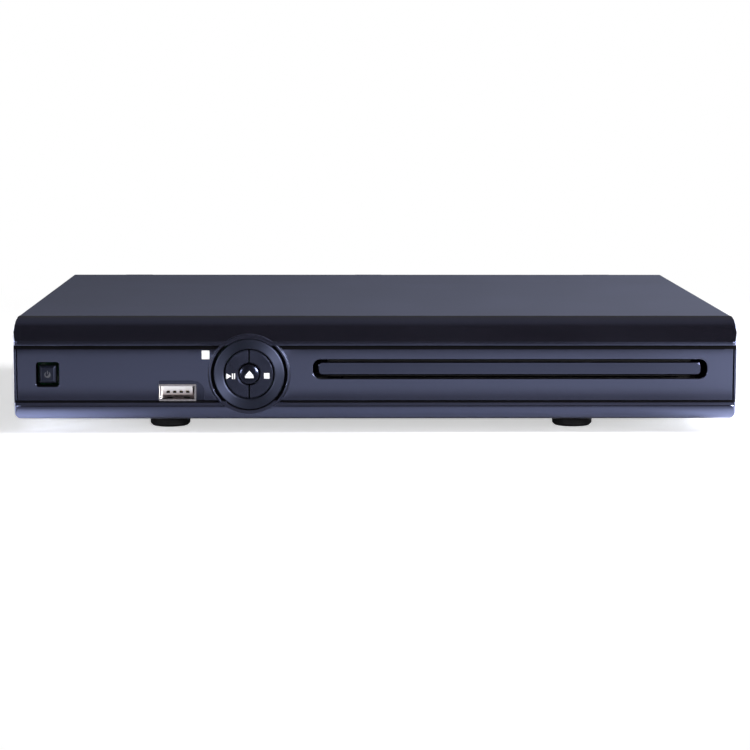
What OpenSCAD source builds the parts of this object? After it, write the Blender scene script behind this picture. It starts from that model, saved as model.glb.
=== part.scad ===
// Compact disc player with a motor-driven tray.
// Origin on the floor under the middle, +X to the right, +Y to the back, +Z up.

/* [Body] */
// Greatest width, at the front panel
body_w = 270; // [264:1:320]
// Depth from the front panel to the rear panel
body_d = 200; // [196:1:260]
// Height of the body without its feet
body_h = 38.2; // [37:0.2:60]
// Height of the feet
foot_h = 5.2; // [3:0.1:12]
// Diameter of a foot
foot_d = 15.4; // [10:0.1:22]
// Distance of a foot's middle from the body's middle, sideways
foot_x = 77; // [60:1:100]
// Distance of a foot's middle from the front or rear
foot_y = 24; // [14:1:50]
// Thickness of the steel sheet
sheet_t = 0.8; // [0.6:0.1:1.2]
// Step from the front panel's side in to the cover's side
cover_step = 1; // [0.6:0.1:2]
// Outer bend radius of the cover
bend_r = 1.2; // [1.2:0.1:3]

/* [Front panel] */
// Height of the curved lip along the bottom
lip_h = 5.1; // [3:0.1:8]
// How far the lip curves back at its foot
lip_d = 3; // [1:0.1:5]
// Height of the narrow ledge over the lip
ledge_h = 1.3; // [0.8:0.1:2.5]
// Height of the groove over the ledge
low_groove_h = 0.7; // [0.5:0.1:1.5]
// Height of the flat panel
panel_h = 19.2; // [18:0.1:22]
// How far the flat panel lies behind the foremost plane
panel_d = 1.2; // [0.6:0.1:2]
// Height of the groove under the ridge
groove_h = 1.5; // [0.8:0.1:3]
// Depth of the grooves behind the flat panel
groove_d = 1.2; // [0.5:0.1:1.3]
// Height of the ridge
ridge_h = 1.35; // [0.8:0.05:3]
// Depth of the band over the ridge, from the foremost plane to the cover
band_d = 8; // [6:0.5:12]
// Drop of the band's rounded top edge
band_drop = 4; // [2:0.1:5]
// Wall behind the flat panel
panel_wall = 2.4; // [2:0.1:3]
// Wall of the front's sides, top and bottom
side_wall = 2; // [1.5:0.1:2.4]
// Corner radius of the front, seen from above
corner_r = 2; // [1:0.1:4]
// Distance of the upright end groove from the front's side
end_groove_in = 1.2; // [0.8:0.1:3]

/* [Slot and tray door] */
// Middle of the slot from the front's right side
slot_in = 84.8; // [80:0.1:100]
// Middle of the slot above the flat panel's lower edge
slot_up = 11.75; // [11:0.05:12.5]
// Width of the slot
slot_w = 147.6; // [144:0.1:152]
// Height of the slot
slot_h = 7.4; // [7:0.1:8]
// Width of the tray's door
door_w = 143.6; // [138:0.1:143.8]
// Height of the tray's door
door_h = 5; // [4:0.1:6]
// Thickness of the tray's door
door_t = 2.4; // [1.5:0.1:3]
// How far the door's face lies behind the flat panel
door_recess = 1.8; // [0.8:0.1:2]

/* [Round button set] */
// Middle of the ring from the front's left side
ring_in = 87.7; // [80:0.1:95]
// Middle of the ring above the flat panel's lower edge
ring_up = 9.9; // [9:0.1:11]
// Outer radius of the moulded collar
collar_r = 15.15; // [14:0.05:16]
// Wall of the collar beside the channel
collar_wall = 0.85; // [0.4:0.05:1]
// Width of the dark channel at the ring's left and right
channel_w = 0.8; // [0.4:0.05:1.2]
// Gap between the ring and the edge around it
ring_gap = 0.35; // [0.3:0.05:0.8]
// Inner radius of the ring
ring_in_r = 9.5; // [8.6:0.1:10]
// Rounding of the ring's edges
ring_edge = 0.5; // [0.3:0.1:0.9]
// Running gap around each button of the ring
button_gap = 0.45; // [0.3:0.05:0.6]
// Radius of the middle button
eject_r = 3.75; // [3:0.05:4.5]
// Height of the middle button's dome
eject_dome = 0.9; // [0.3:0.1:1.2]
// Travel of the three small buttons
button_push = 0.6; // [0.3:0.05:0.6]

/* [Power button, window and port] */
// Middle of the power button from the front's left side
power_in = 12.7; // [12:0.1:16]
// Middle of the power button above the flat panel's lower edge
power_up = 9.8; // [9:0.1:11]
// Width of the power button's recess
recess_w = 8.6; // [8:0.1:9.4]
// Height of the power button's recess
recess_h = 9.3; // [8.6:0.1:10]
// Width of the power button
power_w = 6.2; // [5:0.1:7]
// Height of the power button
power_h = 6.4; // [5:0.1:7]
// Chamfer of the power button's face
power_chamfer = 0.8; // [0.3:0.1:1.2]
// Travel of the power button
power_push = 2; // [1:0.1:2.5]
// Middle of the indicator window from the front's left side
window_in = 71.5; // [66:0.1:74]
// Middle of the indicator window above the flat panel's lower edge
window_up = 17.1; // [15.5:0.1:17.2]
// Width of the indicator window
window_w = 3; // [2:0.1:4]
// Height of the indicator window
window_h = 3.4; // [2:0.1:3.6]
// Middle of the front port from the front's left side
port_in = 61; // [56:0.1:62]
// Middle of the front port above the flat panel's lower edge
port_up = 2.9; // [2.9:0.05:4]
// Width of the port's shell
port_w = 13.1; // [12.5:0.1:14]
// Height of the port's shell
port_h = 5.7; // [5.1:0.1:5.8]
// Thickness of the port's shell
port_t = 0.35; // [0.25:0.05:0.5]
// Depth of the finger recess around the port
finger_d = 0.6; // [0.3:0.1:0.8]

/* [Tray] */
// Diameter of the disc pocket
pocket_d = 121; // [120.4:0.1:122]
// Diameter of the small disc's pocket
small_pocket_d = 81; // [80.4:0.1:82]
// Width of the tray
tray_w = 136; // [135:0.1:138]
// Height of the tray
tray_h = 6.4; // [6:0.1:6.4]
// Thickness of the pocket's floor
tray_floor = 1.4; // [1:0.1:1.6]
// Length of the tray behind its door
tray_l = 162.6; // [160:0.1:166]
// Width of the spindle opening in the tray
keyhole_w = 46; // [44:0.5:48]
// Distance of the spindle behind the foremost plane
spindle_in = 78; // [76:0.5:82]
// Sliding clearance around the tray
tray_gap = 0.4; // [0.3:0.05:0.45]

/* [Tray drive] */
// Module of the rack and the drive gear
tooth_m = 1; // [0.9:0.1:1.1]
// Number of teeth on the drive gear
gear_teeth = 18; // [17:1:19]
// Backlash between the rack and the gear
backlash = 0.2; // [0.15:0.05:0.3]
// Running clearance of a bore on its pin, radial
pin_gap = 0.06; // [0.02:0.01:0.1]
// Radius of the gear's post
post_r = 1.5; // [1.2:0.1:2]
// Radius of the belt pulley under the gear
pulley_r = 13; // [11:0.1:13.4]
// Thickness of the belt
belt_t = 1; // [0.8:0.1:1.2]
// Diameter of the loading motor
load_motor_d = 24.4; // [20:0.1:24.4]

/* [Traverse] */
// Distance from the spindle back to the traverse's pivot
pivot_back = 98; // [90:0.5:104]
// Radius of the traverse's pivot pins
pivot_r = 2; // [1.5:0.1:2.4]
// Tilt of the traverse from playing to lowered, in degrees
tilt = 2.4; // [2:0.1:2.5]
// Travel of the cam slider
cam_travel = 16; // [12:0.5:18]
// Radius of the cam pins
cam_pin_r = 1.5; // [1.2:0.1:1.6]
// Radius of the turntable
turntable_r = 15; // [13:0.1:16]
// Radius of a guide rod
rod_r = 1.5; // [1.2:0.1:1.6]
// Distance between the guide rods
rod_span = 42; // [40:0.5:43]

/* [Back] */
// How far the jacks stand out of the rear panel
jack_out = 8; // [6:0.1:10]
// Outer diameter of a jack
jack_d = 8.3; // [8:0.1:8.6]
// Distance between the jacks
jack_pitch = 14; // [12:0.5:18]
// Thickness of a circuit board
board_t = 1.6; // [1:0.1:1.6]
// Height of the standoffs under the boards
standoff_h = 5; // [3:0.1:6]
// Radius of a machine screw's shank
screw_r = 1.25; // [1:0.05:1.4]

/* [Hidden] */
$fn = 64;

// Planes of the body
front_y = -(body_d + jack_out) / 2;
rear_y = front_y + body_d;
cover_y = front_y + band_d;
bottom_z = foot_h;
top_z = foot_h + body_h;
cover_half = body_w / 2 - cover_step;
inner_half = cover_half - sheet_t;
pan_rise = 0.5;
pan_z = bottom_z + pan_rise + sheet_t;
roof_z = top_z - sheet_t;
seam_gap = 0.2;
pan_front = cover_y + seam_gap;
rear_in = rear_y - sheet_t;

// Heights of the front's bands
lip_z = bottom_z + lip_h;
ledge_z = lip_z + ledge_h;
panel_z = ledge_z + low_groove_h;
groove_z = panel_z + panel_h;
ridge_z = groove_z + groove_h;
band_z = ridge_z + ridge_h;
ledge_d = 0.35;
band_step = 0.4;
band_lean = 0.9;
top_in = 1.8;
corner_in = 2.3;
panel_y = front_y + panel_d;
wall_y = panel_y + panel_wall;

// Places of what the front carries
slot_x = body_w / 2 - slot_in;
slot_z = panel_z + slot_up;
ring_x = ring_in - body_w / 2;
ring_z = panel_z + ring_up;
power_x = power_in - body_w / 2;
power_z = panel_z + power_up;
window_x = window_in - body_w / 2;
window_z = panel_z + window_up;
port_x = port_in - body_w / 2;
port_z = panel_z + port_up;
channel_r = collar_r - collar_wall;
hole_r = channel_r - channel_w;
ring_r = hole_r - ring_gap;
half_out_r = ring_in_r - button_gap;
half_in_r = eject_r + button_gap;
split_gap = 0.55;
board_y = front_y + 12;
board_rear_y = board_y + board_t;
board_left = power_x - 7;
board_right = ring_x + 14.3;
switch_w = 6;
switch_d = 3.5;
plunger_r = 1.6;
plunger_h = 0.7;
plunger_y = board_y - switch_d - plunger_h;
stem_end = plunger_y - button_push - 0.05;
switch_x = half_out_r - 2.25;
port_front = panel_y + finger_d - 0.2;
port_fit = 0.1;

// Tray, in its closed place
door_y = panel_y + door_recess;
tray_y = door_y + door_t;
tray_end = tray_y + tray_l;
tray_z = slot_z - tray_h / 2;
tray_top = slot_z + tray_h / 2;
spindle_y = front_y + spindle_in;
floor_z = tray_z + 0.8 + tray_floor;
floor_under = floor_z - tray_floor;
tray_half = tray_w / 2;
tray_left = slot_x - tray_half;
rail_w = 5;

// Rack and gear
pitch_r = tooth_m * gear_teeth / 2;
tooth_add = 0.9 * tooth_m;
tooth_ded = 1.15 * tooth_m;
pressure = 20;
rack_x = tray_left + tooth_add;
gear_x = rack_x - pitch_r;
gear_y = spindle_y - 52;
gear_h = 3.3;
gear_z = tray_z + 0.2;
flange_z = gear_z + gear_h + 0.3;
pulley_h = 2.4;
pulley_z = gear_z - 0.7 - pulley_h;
motor_deck_t = 1;
motor_deck_z = pulley_z - 0.3 - motor_deck_t;
load_motor_x = tray_left - tray_gap - 2.4 - load_motor_d / 2 - 0.8;
load_motor_y = gear_y + 28;
load_motor_h = motor_deck_z - pan_z - 0.7;
groove_root = belt_t + 0.1;
motor_pulley_r = 4.2;
motor_shaft_r = 1;

// Loader frame
load_wall = 2.4;
wall_in = tray_half + tray_gap;
wall_out = wall_in + load_wall;
load_floor = 1.6;
loader_pad = 2.4;
ledge_top = tray_z - 0.3;
tab_z = tray_top + 0.3;
tab_t = 1.2;
load_top = tab_z + tab_t;
load_front = front_y + 12;
load_rear = tray_end + 17;
window_half = 41;
bridge_t = 1.2;
bridge_w = 34;
bridge_hole_r = 10;
bridge_boss_x = wall_in + 2.7;

// Traverse, in its playing place, and what it carries
disc_z = floor_z + 1.25;
hub_h = 1.3;
deck_t = 1;
deck_z = disc_z - 7.7;
frame_t = 3.2;
frame_z = deck_z - 0.8 - frame_t;
pivot_y = spindle_y + pivot_back;
pivot_z = frame_z + frame_t / 2;
frame_half = 40;
frame_front = spindle_y - 28;
frame_hole_half = 35;
pivot_reach = 5;
cam_pin_z = pivot_z + 1.8;
cam_x = 22;
cam_t = 2.4;
cam_front = frame_front - 3.6 - cam_t;
cam_reach = pivot_y - cam_front - cam_t / 2;
cam_drop = cam_reach * sin(tilt);
cam_slot_r = cam_pin_r + 0.3;
cam_top = cam_pin_z + cam_slot_r + 1.2;
cam_bottom = cam_pin_z - cam_drop - cam_slot_r - 1.1;
grommet_x = 36;
grommet_front = spindle_y - 16;
grommet_rear = spindle_y + 92;
grommet_spots = [for (x = [-1, 1]) for (y = [grommet_front, grommet_rear]) [slot_x + x * grommet_x, y]];
grommet_r = 3.9;
neck_r = 2.9;
grommet_h = 0.8;
deck_half = 40;
rotor_r = 12;
shaft_r = 1;
platform_t = 1.5;
rod_z = deck_z - 1.7;
rod_front = spindle_y + 14;
rod_rear = rod_front + 70;
lens_y = spindle_y + 24;
pickup_front = lens_y - 8;
pickup_rear = lens_y + 22;
pickup_half = 17;
ear_l = 18;
ear_r = rod_r + 1.5;
screw_x = rod_span / 2 + 8;
lead_r = 1.5;
lead_z = rod_z - 1;
sled_r = 4.8;
sled_front = rod_front + 65.5;
sled_l = 8;

// Electronics
board_z = pan_z + standoff_h;
board_top = board_z + board_t;
power_left = -inner_half + 3;
power_board_w = 48;
main_left = power_left + power_board_w + 4;
main_board_w = 50;
board_front = front_y + 98;
board_back = rear_in - 6;
board_margin = 4;
board_rear_margin = 22;
inlet_x = power_left + 18;
av_x = main_left + 16;
jack_x = main_left + 31;
jack_z = board_top + 8;
jack_r = jack_d / 2;
jack_neck_r = jack_r - 0.5;
jack_start = rear_in - 4;

function arc(c, r, a0, a1, n = 6) =
    [for (i = [0:n]) c + r * [cos(a0 + (a1 - a0) * i / n), sin(a0 + (a1 - a0) * i / n)]];

function bow(c, rx, ry, a0, a1, n = 8) =
    [for (i = [0:n]) [c[0] + rx * cos(a0 + (a1 - a0) * i / n), c[1] + ry * sin(a0 + (a1 - a0) * i / n)]];

// Outline of a rectangle with round corners, centred
function rounded(w, h, r, n = 5) = concat(
    arc([w / 2 - r, h / 2 - r], r, 0, 90, n), arc([r - w / 2, h / 2 - r], r, 90, 180, n),
    arc([r - w / 2, r - h / 2], r, 180, 270, n), arc([w / 2 - r, r - h / 2], r, 270, 360, n));

// Outline of a slot with round ends, from p to q
function capsule(p, q, r, n = 10) =
    let (a = atan2(q[1] - p[1], q[0] - p[0]))
    concat(arc(q, r, a - 90, a + 90, n), arc(p, r, a + 90, a + 270, n));

// Outline round two circles of different radii
function belt_line(p, rp, q, rq, n = 24) =
    let (d = norm(q - p), a = atan2(q[1] - p[1], q[0] - p[0]), b = acos((rp - rq) / d))
    concat(arc(q, rq, a - b, a + b, n), arc(p, rp, a + b, a + 360 - b, n));

// Point of an involute of base radius r, unrolled by a degrees, turned by t
function involute(r, a, t) =
    [r * (cos(a + t) + a * PI / 180 * sin(a + t)), r * (sin(a + t) - a * PI / 180 * cos(a + t))];

module along_x(x0, x1) {
    translate([x0, 0, 0])
        rotate([90, 0, 90])
            linear_extrude(x1 - x0)
                children();
}

module along_y(y0, y1) {
    translate([0, y1, 0])
        rotate([90, 0, 0])
            linear_extrude(y1 - y0)
                children();
}

module block(x0, x1, y0, y1, z0, z1) {
    translate([x0, y0, z0])
        cube([x1 - x0, y1 - y0, z1 - z0]);
}

module rod_y(x, z, r, y0, y1, fn = 48) {
    translate([x, y1, z])
        rotate([90, 0, 0])
            cylinder(r = r, h = y1 - y0, $fn = fn);
}

module rod_x(y, z, r, x0, x1, fn = 48) {
    translate([x0, y, z])
        rotate([0, 90, 0])
            cylinder(r = r, h = x1 - x0, $fn = fn);
}

module rod_z(x, y, r, z0, z1, fn = 48) {
    translate([x, y, z0])
        cylinder(r = r, h = z1 - z0, $fn = fn);
}

// A turned face on an axis along Y: the profile's x is the radius, its y is the depth
module turned_y(x, z) {
    translate([x, 0, z])
        rotate([-90, 0, 0])
            rotate_extrude($fn = 96)
                children();
}

module screw_down(x, y, z, reach, head_r = 2.6, head_h = 1.6) {
    difference() {
        union() {
            rod_z(x, y, screw_r, z - reach, z + 0.1, 24);
            rod_z(x, y, head_r, z, z + head_h, 32);
        }
        block(x - head_r, x + head_r, y - 0.3, y + 0.3, z + head_h - 0.7, z + head_h + 1);
        block(x - 0.3, x + 0.3, y - head_r, y + head_r, z + head_h - 0.7, z + head_h + 1);
    }
}

// ---- Front panel ----

function front_side() = concat(
    [[cover_y, bottom_z]],
    bow([front_y + lip_d, lip_z], lip_d, lip_h, 270, 180, 8),
    [[front_y + ledge_d, lip_z], [front_y + ledge_d, ledge_z],
     [panel_y + groove_d, ledge_z], [panel_y + groove_d, panel_z],
     [panel_y, panel_z], [panel_y, groove_z],
     [panel_y + groove_d, groove_z], [panel_y + groove_d, ridge_z],
     [front_y, ridge_z], [front_y, band_z], [front_y + band_step, band_z + 0.15]],
    bow([cover_y - 2, top_z - band_drop], band_d - 2 - band_step - band_lean, band_drop, 180, 90, 8),
    [[cover_y, top_z]]);

function front_cavity() = concat(
    [[cover_y + 1, bottom_z + side_wall], [wall_y, bottom_z + side_wall], [wall_y, band_z]],
    bow([cover_y - 1, top_z - band_drop], cover_y - 2 - wall_y, band_drop - side_wall, 180, 90, 6),
    [[cover_y + 1, top_z - side_wall]]);

// Half of the front's outline, seen from the front
function front_face() =
    let (h = body_w / 2)
    concat(
        bow([h - corner_in, lip_z], corner_in, lip_h, -90, 0, 6),
        [[h, ridge_z]],
        bow([h - top_in * 1.6, ridge_z], top_in * 1.6, (top_z - ridge_z) / sin(62), 10, 62, 5),
        bow([top_in * 1.6 - h, ridge_z], top_in * 1.6, (top_z - ridge_z) / sin(62), 118, 170, 5),
        [[-h, ridge_z]],
        bow([corner_in - h, lip_z], corner_in, lip_h, 180, 270, 6));

module front_body() {
    half = body_w / 2;
    intersection() {
        along_x(-half, half)
            polygon(front_side());
        along_y(front_y, cover_y)
            polygon(front_face());
        translate([0, 0, bottom_z])
            linear_extrude(body_h)
                polygon(concat([[half, cover_y], [-half, cover_y]],
                    arc([corner_r - half, front_y + corner_r], corner_r, 180, 270),
                    arc([half - corner_r, front_y + corner_r], corner_r, 270, 360)));
    }
}

// The collar with its rounded rim and its fillet
module collar_body() {
    rim = 0.4;
    fillet = 0.3;
    turned_y(ring_x, ring_z)
        polygon(concat([[0, front_y], [collar_r - rim, front_y]],
            arc([collar_r - rim, front_y + rim], rim, -60, 0, 3),
            [[collar_r, panel_y - fillet], [collar_r + fillet, panel_y],
             [collar_r + fillet, wall_y], [0, wall_y]]));
}

module port_recess() {
    left = port_x - port_w / 2 - 0.5;
    right = port_x + port_w / 2 + 3.4;
    above = port_z + port_h / 2 + 1.5;
    along_y(panel_y - 1, panel_y + finger_d)
        polygon(concat([[left, panel_z], [right, panel_z]],
            bow([right - 5, above - 3.4], 5, 3.4, 0, 90, 6),
            arc([left + 0.8, above - 0.8], 0.8, 90, 180, 4)));
}

module front_openings() {
    translate([slot_x, 0, slot_z])
        along_y(front_y - 1, wall_y + 1)
            polygon(rounded(slot_w, slot_h, 3, 8));
    translate([power_x, 0, power_z])
        along_y(front_y - 1, wall_y + 6)
            polygon(rounded(recess_w, recess_h, 1, 4));
    translate([window_x, 0, window_z])
        along_y(front_y - 1, wall_y + 1)
            polygon(rounded(window_w, window_h, 0.2, 2));
    translate([port_x, 0, port_z])
        along_y(front_y - 1, wall_y + 1)
            square([port_w + 2 * port_fit, port_h + 2 * port_fit], center = true);
    port_recess();
    rod_y(ring_x, ring_z, hole_r, front_y - 1, wall_y + 2, 96);
    intersection() {
        rod_y(ring_x, ring_z, channel_r, front_y - 1, wall_y - 0.9, 96);
        block(ring_x - 20, ring_x + 20, front_y - 1, wall_y, panel_z, ridge_z);
    }
    for (side = [-1, 1])
        along_y(panel_y - 1, panel_y + 0.9)
            translate([side * (body_w / 2 - end_groove_in) - 0.25, panel_z])
                square([0.5, panel_h]);
}

module bezel_post(x, z) {
    difference() {
        rod_y(x, z, 2.6, wall_y - 0.2, board_y, 32);
        rod_y(x, z, screw_r, wall_y + 1.5, board_y + 1, 24);
    }
}

bezel_clips = [-108, -28, 62, 112];
clip_w = 12;
clip_l = 3.5;
nib_y = pan_front + 1.5;

module front_bezel() {
    well = 1.1;
    color("#17161c") {
        difference() {
            union() {
                difference() {
                    front_body();
                    along_x(side_wall - body_w / 2, body_w / 2 - side_wall)
                        polygon(front_cavity());
                }
                collar_body();
                translate([power_x, 0, power_z])
                    along_y(wall_y - 0.2, wall_y + 3.5)
                        polygon(rounded(recess_w + 2 * well, recess_h + 2 * well, 1.6, 4));
            }
            front_openings();
        }
        for (p = board_posts)
            bezel_post(p[0], p[1]);
        for (x = bezel_clips)
            difference() {
                union() {
                    block(x - clip_w / 2, x + clip_w / 2, cover_y - 3, cover_y + clip_l,
                        pan_z, pan_z + 1.5);
                    block(x - clip_w / 2, x + clip_w / 2, nib_y, nib_y + 1.4, pan_z - 0.7, pan_z + 0.2);
                }
                block(x - clip_w, x + clip_w, cover_y - 4, cover_y - 3 + 0.001, pan_z - 2, pan_z);
            }
    }
}

module control_ring() {
    e = ring_edge;
    mid = (ring_r + ring_in_r) / 2;
    back = wall_y + 1.6;
    lug_r = hole_r + 0.9;
    lug_half = 4.5;
    color("#2e3140") {
        turned_y(ring_x, ring_z)
            polygon(concat([[ring_in_r, back]],
                arc([ring_in_r + e, front_y + e], e, 180, 270, 4),
                arc([ring_r - e, front_y + e], e, 270, 360, 4),
                [[ring_r, back]]));
        intersection() {
            turned_y(ring_x, ring_z)
                polygon([[mid, wall_y + 0.05], [lug_r, wall_y + 0.05], [lug_r, back], [mid, back]]);
            block(ring_x - lug_r - 1, ring_x + lug_r + 1, wall_y, back + 1,
                ring_z - lug_half, ring_z + lug_half);
        }
    }
}

module indicator_window() {
    color("#f6f8fb")
        translate([window_x, 0, window_z]) {
            along_y(panel_y, wall_y + 0.9)
                polygon(rounded(window_w - 0.1, window_h - 0.1, 0.15, 2));
            along_y(wall_y, wall_y + 0.9)
                polygon(rounded(window_w + 1.6, window_h - 0.1, 0.15, 2));
        }
}

// Half of a flat ring, on the side given by -1 (left) or 1 (right)
module half_ring(side, ro, ri, y0, y1) {
    difference() {
        rod_y(ring_x, ring_z, ro, y0, y1, 96);
        rod_y(ring_x, ring_z, ri, y0 - 1, y1 + 1, 72);
        block(side > 0 ? ring_x - 2 * ro : ring_x - split_gap / 2,
            side > 0 ? ring_x + split_gap / 2 : ring_x + 2 * ro,
            y0 - 1, y1 + 1, ring_z - 2 * ro, ring_z + 2 * ro);
    }
}

module half_button(side) {
    face = front_y + 0.7;
    half_ring(side, half_out_r, half_in_r, face + 0.3, wall_y + 1);
    half_ring(side, half_out_r - 0.3, half_in_r + 0.3, face, face + 0.4);
    rod_y(ring_x + side * switch_x, ring_z, 1.5, wall_y, stem_end, 32);
}

module play_pause_button() {
    color("#26262e")
        half_button(-1);
}

module stop_button() {
    color("#26262e")
        half_button(1);
}

module eject_button() {
    color("#2b2b34") {
        turned_y(ring_x, ring_z)
            polygon(concat(
                [[0, wall_y + 1]],
                bow([0, front_y + eject_dome], eject_r, eject_dome, 270, 360, 8),
                [[eject_r, wall_y + 1]]));
        rod_y(ring_x, ring_z, 1.5, wall_y, stem_end, 32);
    }
}

module power_button() {
    face = panel_y - 0.3;
    c = power_chamfer;
    color("#1f2029")
        translate([power_x, 0, power_z]) {
            intersection() {
                along_y(face, wall_y + 0.6)
                    square([power_w, power_h], center = true);
                along_x(-power_w, power_w)
                    polygon([[face, c - power_h / 2], [face + c, -power_h / 2],
                        [wall_y + 0.6, -power_h / 2], [wall_y + 0.6, power_h / 2],
                        [face + c, power_h / 2], [face, power_h / 2 - c]]);
                translate([0, 0, -power_h])
                    linear_extrude(2 * power_h)
                        polygon([[c - power_w / 2, face], [-power_w / 2, face + c],
                            [-power_w / 2, wall_y + 0.6], [power_w / 2, wall_y + 0.6],
                            [power_w / 2, face + c], [power_w / 2 - c, face]]);
            }
            along_y(wall_y, power_stem_end)
                square([stem_w, stem_w], center = true);
        }
}

stem_w = 2.4;
power_stem_end = board_rear_y + 3;
switch_hole = stem_w + 0.5;

// ---- Casing ----

side_screw_y = [front_y + 52, rear_y - 30];
side_screw_z = pan_z + 9;
rear_screw_x = [-104, 0, 104];
rear_screw_z = top_z - 5;
rear_tab_w = 12;
rear_tab_h = 8;
flange_h = 16;
vent_l = 16;
vent_w = 2;

module cover_side() {
    h = top_z - bottom_z - pan_rise;
    r = bend_r;
    ri = bend_r - sheet_t;
    half = cover_half;
    low = bottom_z + pan_rise;
    difference() {
        translate([0, 0])
            polygon(concat([[half, low]], arc([half - r, top_z - r], r, 0, 90, 6),
                arc([r - half, top_z - r], r, 90, 180, 6), [[-half, low]]));
        polygon(concat([[half - sheet_t, low - 1]],
            arc([half - r, top_z - r], ri, 0, 90, 6),
            arc([r - half, top_z - r], ri, 90, 180, 6), [[sheet_t - half, low - 1]]));
    }
}

module top_cover() {
    color("#4a4b58")
        difference() {
            union() {
                along_y(cover_y, rear_y)
                    cover_side();
                for (x = rear_screw_x)
                    block(x - rear_tab_w / 2, x + rear_tab_w / 2, rear_y, rear_y + sheet_t,
                        top_z - rear_tab_h, top_z);
            }
            for (y = side_screw_y)
                rod_x(y, side_screw_z, screw_r + 0.25, -body_w, body_w, 24);
            for (x = rear_screw_x)
                rod_y(x, rear_screw_z, screw_r + 0.25, rear_y - 2, rear_y + 2, 24);
        }
}

module pan_vents() {
    for (i = [0:6])
        translate([power_left + 8 + i * 5, board_front + 40, pan_z - 2])
            linear_extrude(4)
                polygon(capsule([0, -vent_l / 2], [0, vent_l / 2], vent_w / 2, 6));
}

function board_spots(left, w) =
    [for (x = [left + board_margin, left + w - board_margin])
        for (y = [board_front + board_margin, board_back - board_rear_margin]) [x, y]];

rear_board_spots = concat(board_spots(power_left, power_board_w), board_spots(main_left, main_board_w));

foot_mid = -1.3;
foot_spots = [for (y = [front_y + foot_y, rear_y - foot_y]) for (k = [-1, 1]) [foot_mid + k * foot_x, y]];
foot_stem_r = 2.2;

loader_spots = [for (y = [spindle_y + 12, load_rear - 8]) for (k = [-1, 1]) [slot_x + k * (wall_in - 9), y]];

module base_pan() {
    low = pan_z - sheet_t;
    color("#9a9ca3")
        difference() {
            union() {
                block(-inner_half, inner_half, pan_front, rear_in, low, pan_z);
                for (side = [-1, 1])
                    block(side > 0 ? inner_half - sheet_t : -inner_half,
                        side > 0 ? inner_half : sheet_t - inner_half,
                        pan_front + 4, rear_in - 4, low, pan_z + flange_h);
                block(-inner_half + 6, inner_half - 6, rear_in - sheet_t, rear_in, low, pan_z + 3.5);
                for (p = rear_board_spots)
                    rod_z(p[0], p[1], 3, low, board_z, 32);
            }
            for (p = rear_board_spots)
                rod_z(p[0], p[1], screw_r, low - 1, board_z + 1, 24);
            for (p = loader_spots)
                rod_z(p[0], p[1], screw_r, low - 1, pan_z + 1, 24);
            for (p = foot_spots)
                rod_z(p[0], p[1], foot_stem_r, low - 1, pan_z + 1, 32);
            for (x = bezel_clips)
                block(x - clip_w / 2 - 0.3, x + clip_w / 2 + 0.3, nib_y - 0.3, nib_y + 1.7,
                    low - 1, pan_z + 1);
            for (y = side_screw_y)
                rod_x(y, side_screw_z, screw_r, -body_w, body_w, 24);
            pan_vents();
        }
}

module rear_openings() {
    along_y(rear_in - 1, rear_y + 1) {
        translate([inlet_x, inlet_z])
            polygon(rounded(inlet_w + 0.4, inlet_h + 0.4, 2, 4));
        translate([av_x, av_z])
            square([av_w + 0.4, av_h + 0.4], center = true);
        for (i = [0:11])
            translate([slot_x - 40 + i * 7, bottom_z + body_h * 0.62])
                polygon(capsule([0, -5], [0, 5], 1.2, 6));
    }
    for (i = [0:2])
        rod_y(jack_x + i * jack_pitch, jack_z, jack_r + 0.4, rear_in - 1, rear_y + 1, 48);
    for (x = rear_screw_x)
        rod_y(x, rear_screw_z, screw_r, rear_in - 1, rear_y + 1, 24);
}

module rear_panel() {
    color("#8d9097")
        difference() {
            translate([0, 0, (roof_z + pan_z - sheet_t) / 2])
                along_y(rear_in, rear_y)
                    polygon(rounded(2 * inner_half, roof_z - pan_z + sheet_t, bend_r, 4));
            rear_openings();
        }
}

module foot(i) {
    p = foot_spots[i];
    r = foot_d / 2;
    seat = pan_z - sheet_t;
    color("#141417")
        translate([p[0], p[1], 0])
            rotate_extrude($fn = 64)
                polygon([[0, 1.2], [r * 0.45, 1.2], [r * 0.45, 0], [r - 1, 0], [r - 0.1, 0.9],
                    [r, seat], [foot_stem_r, seat], [foot_stem_r, pan_z + 0.9], [0, pan_z + 0.9]]);
}

module foot_front_left() { foot(0); }
module foot_front_right() { foot(1); }
module foot_rear_left() { foot(2); }
module foot_rear_right() { foot(3); }

module cover_side_screws() {
    color("#2a2a2e")
        for (y = side_screw_y)
            for (side = [-1, 1])
                translate([side * cover_half, y, side_screw_z])
                    rotate([0, side * 90, 0])
                        screw_down(0, 0, 0, sheet_t * 2 + 2, 2.6, cover_step - 0.1);
}

module cover_rear_screws() {
    color("#2a2a2e")
        for (x = rear_screw_x)
            translate([x, rear_y + sheet_t, rear_screw_z])
                rotate([-90, 0, 0])
                    screw_down(0, 0, 0, sheet_t * 2 + 2, 2.6, 1.4);
}

// ---- Front electronics ----

board_posts = [[port_x - 38, groove_z - 1.5], [port_x + 4, groove_z - 1.5], [port_x - 22, port_z]];

module front_board() {
    color("#2c6a43")
        difference() {
            block(board_left, board_right, board_y, board_rear_y, pan_z + 2, band_z + 2);
            for (p = board_posts)
                rod_y(p[0], p[1], screw_r + 0.2, board_y - 1, board_rear_y + 1, 24);
            translate([power_x, 0, power_z])
                along_y(board_y - 1, board_rear_y + 1)
                    square([switch_hole, switch_hole], center = true);
        }
}

module tact_switches() {
    color("#3a3a40")
        for (i = [-1:1])
            translate([ring_x + i * switch_x, 0, ring_z]) {
                along_y(board_y - switch_d, board_y)
                    square([switch_w, switch_w], center = true);
                rod_y(0, 0, plunger_r, plunger_y, board_y - switch_d + 0.1, 32);
            }
}

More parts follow.
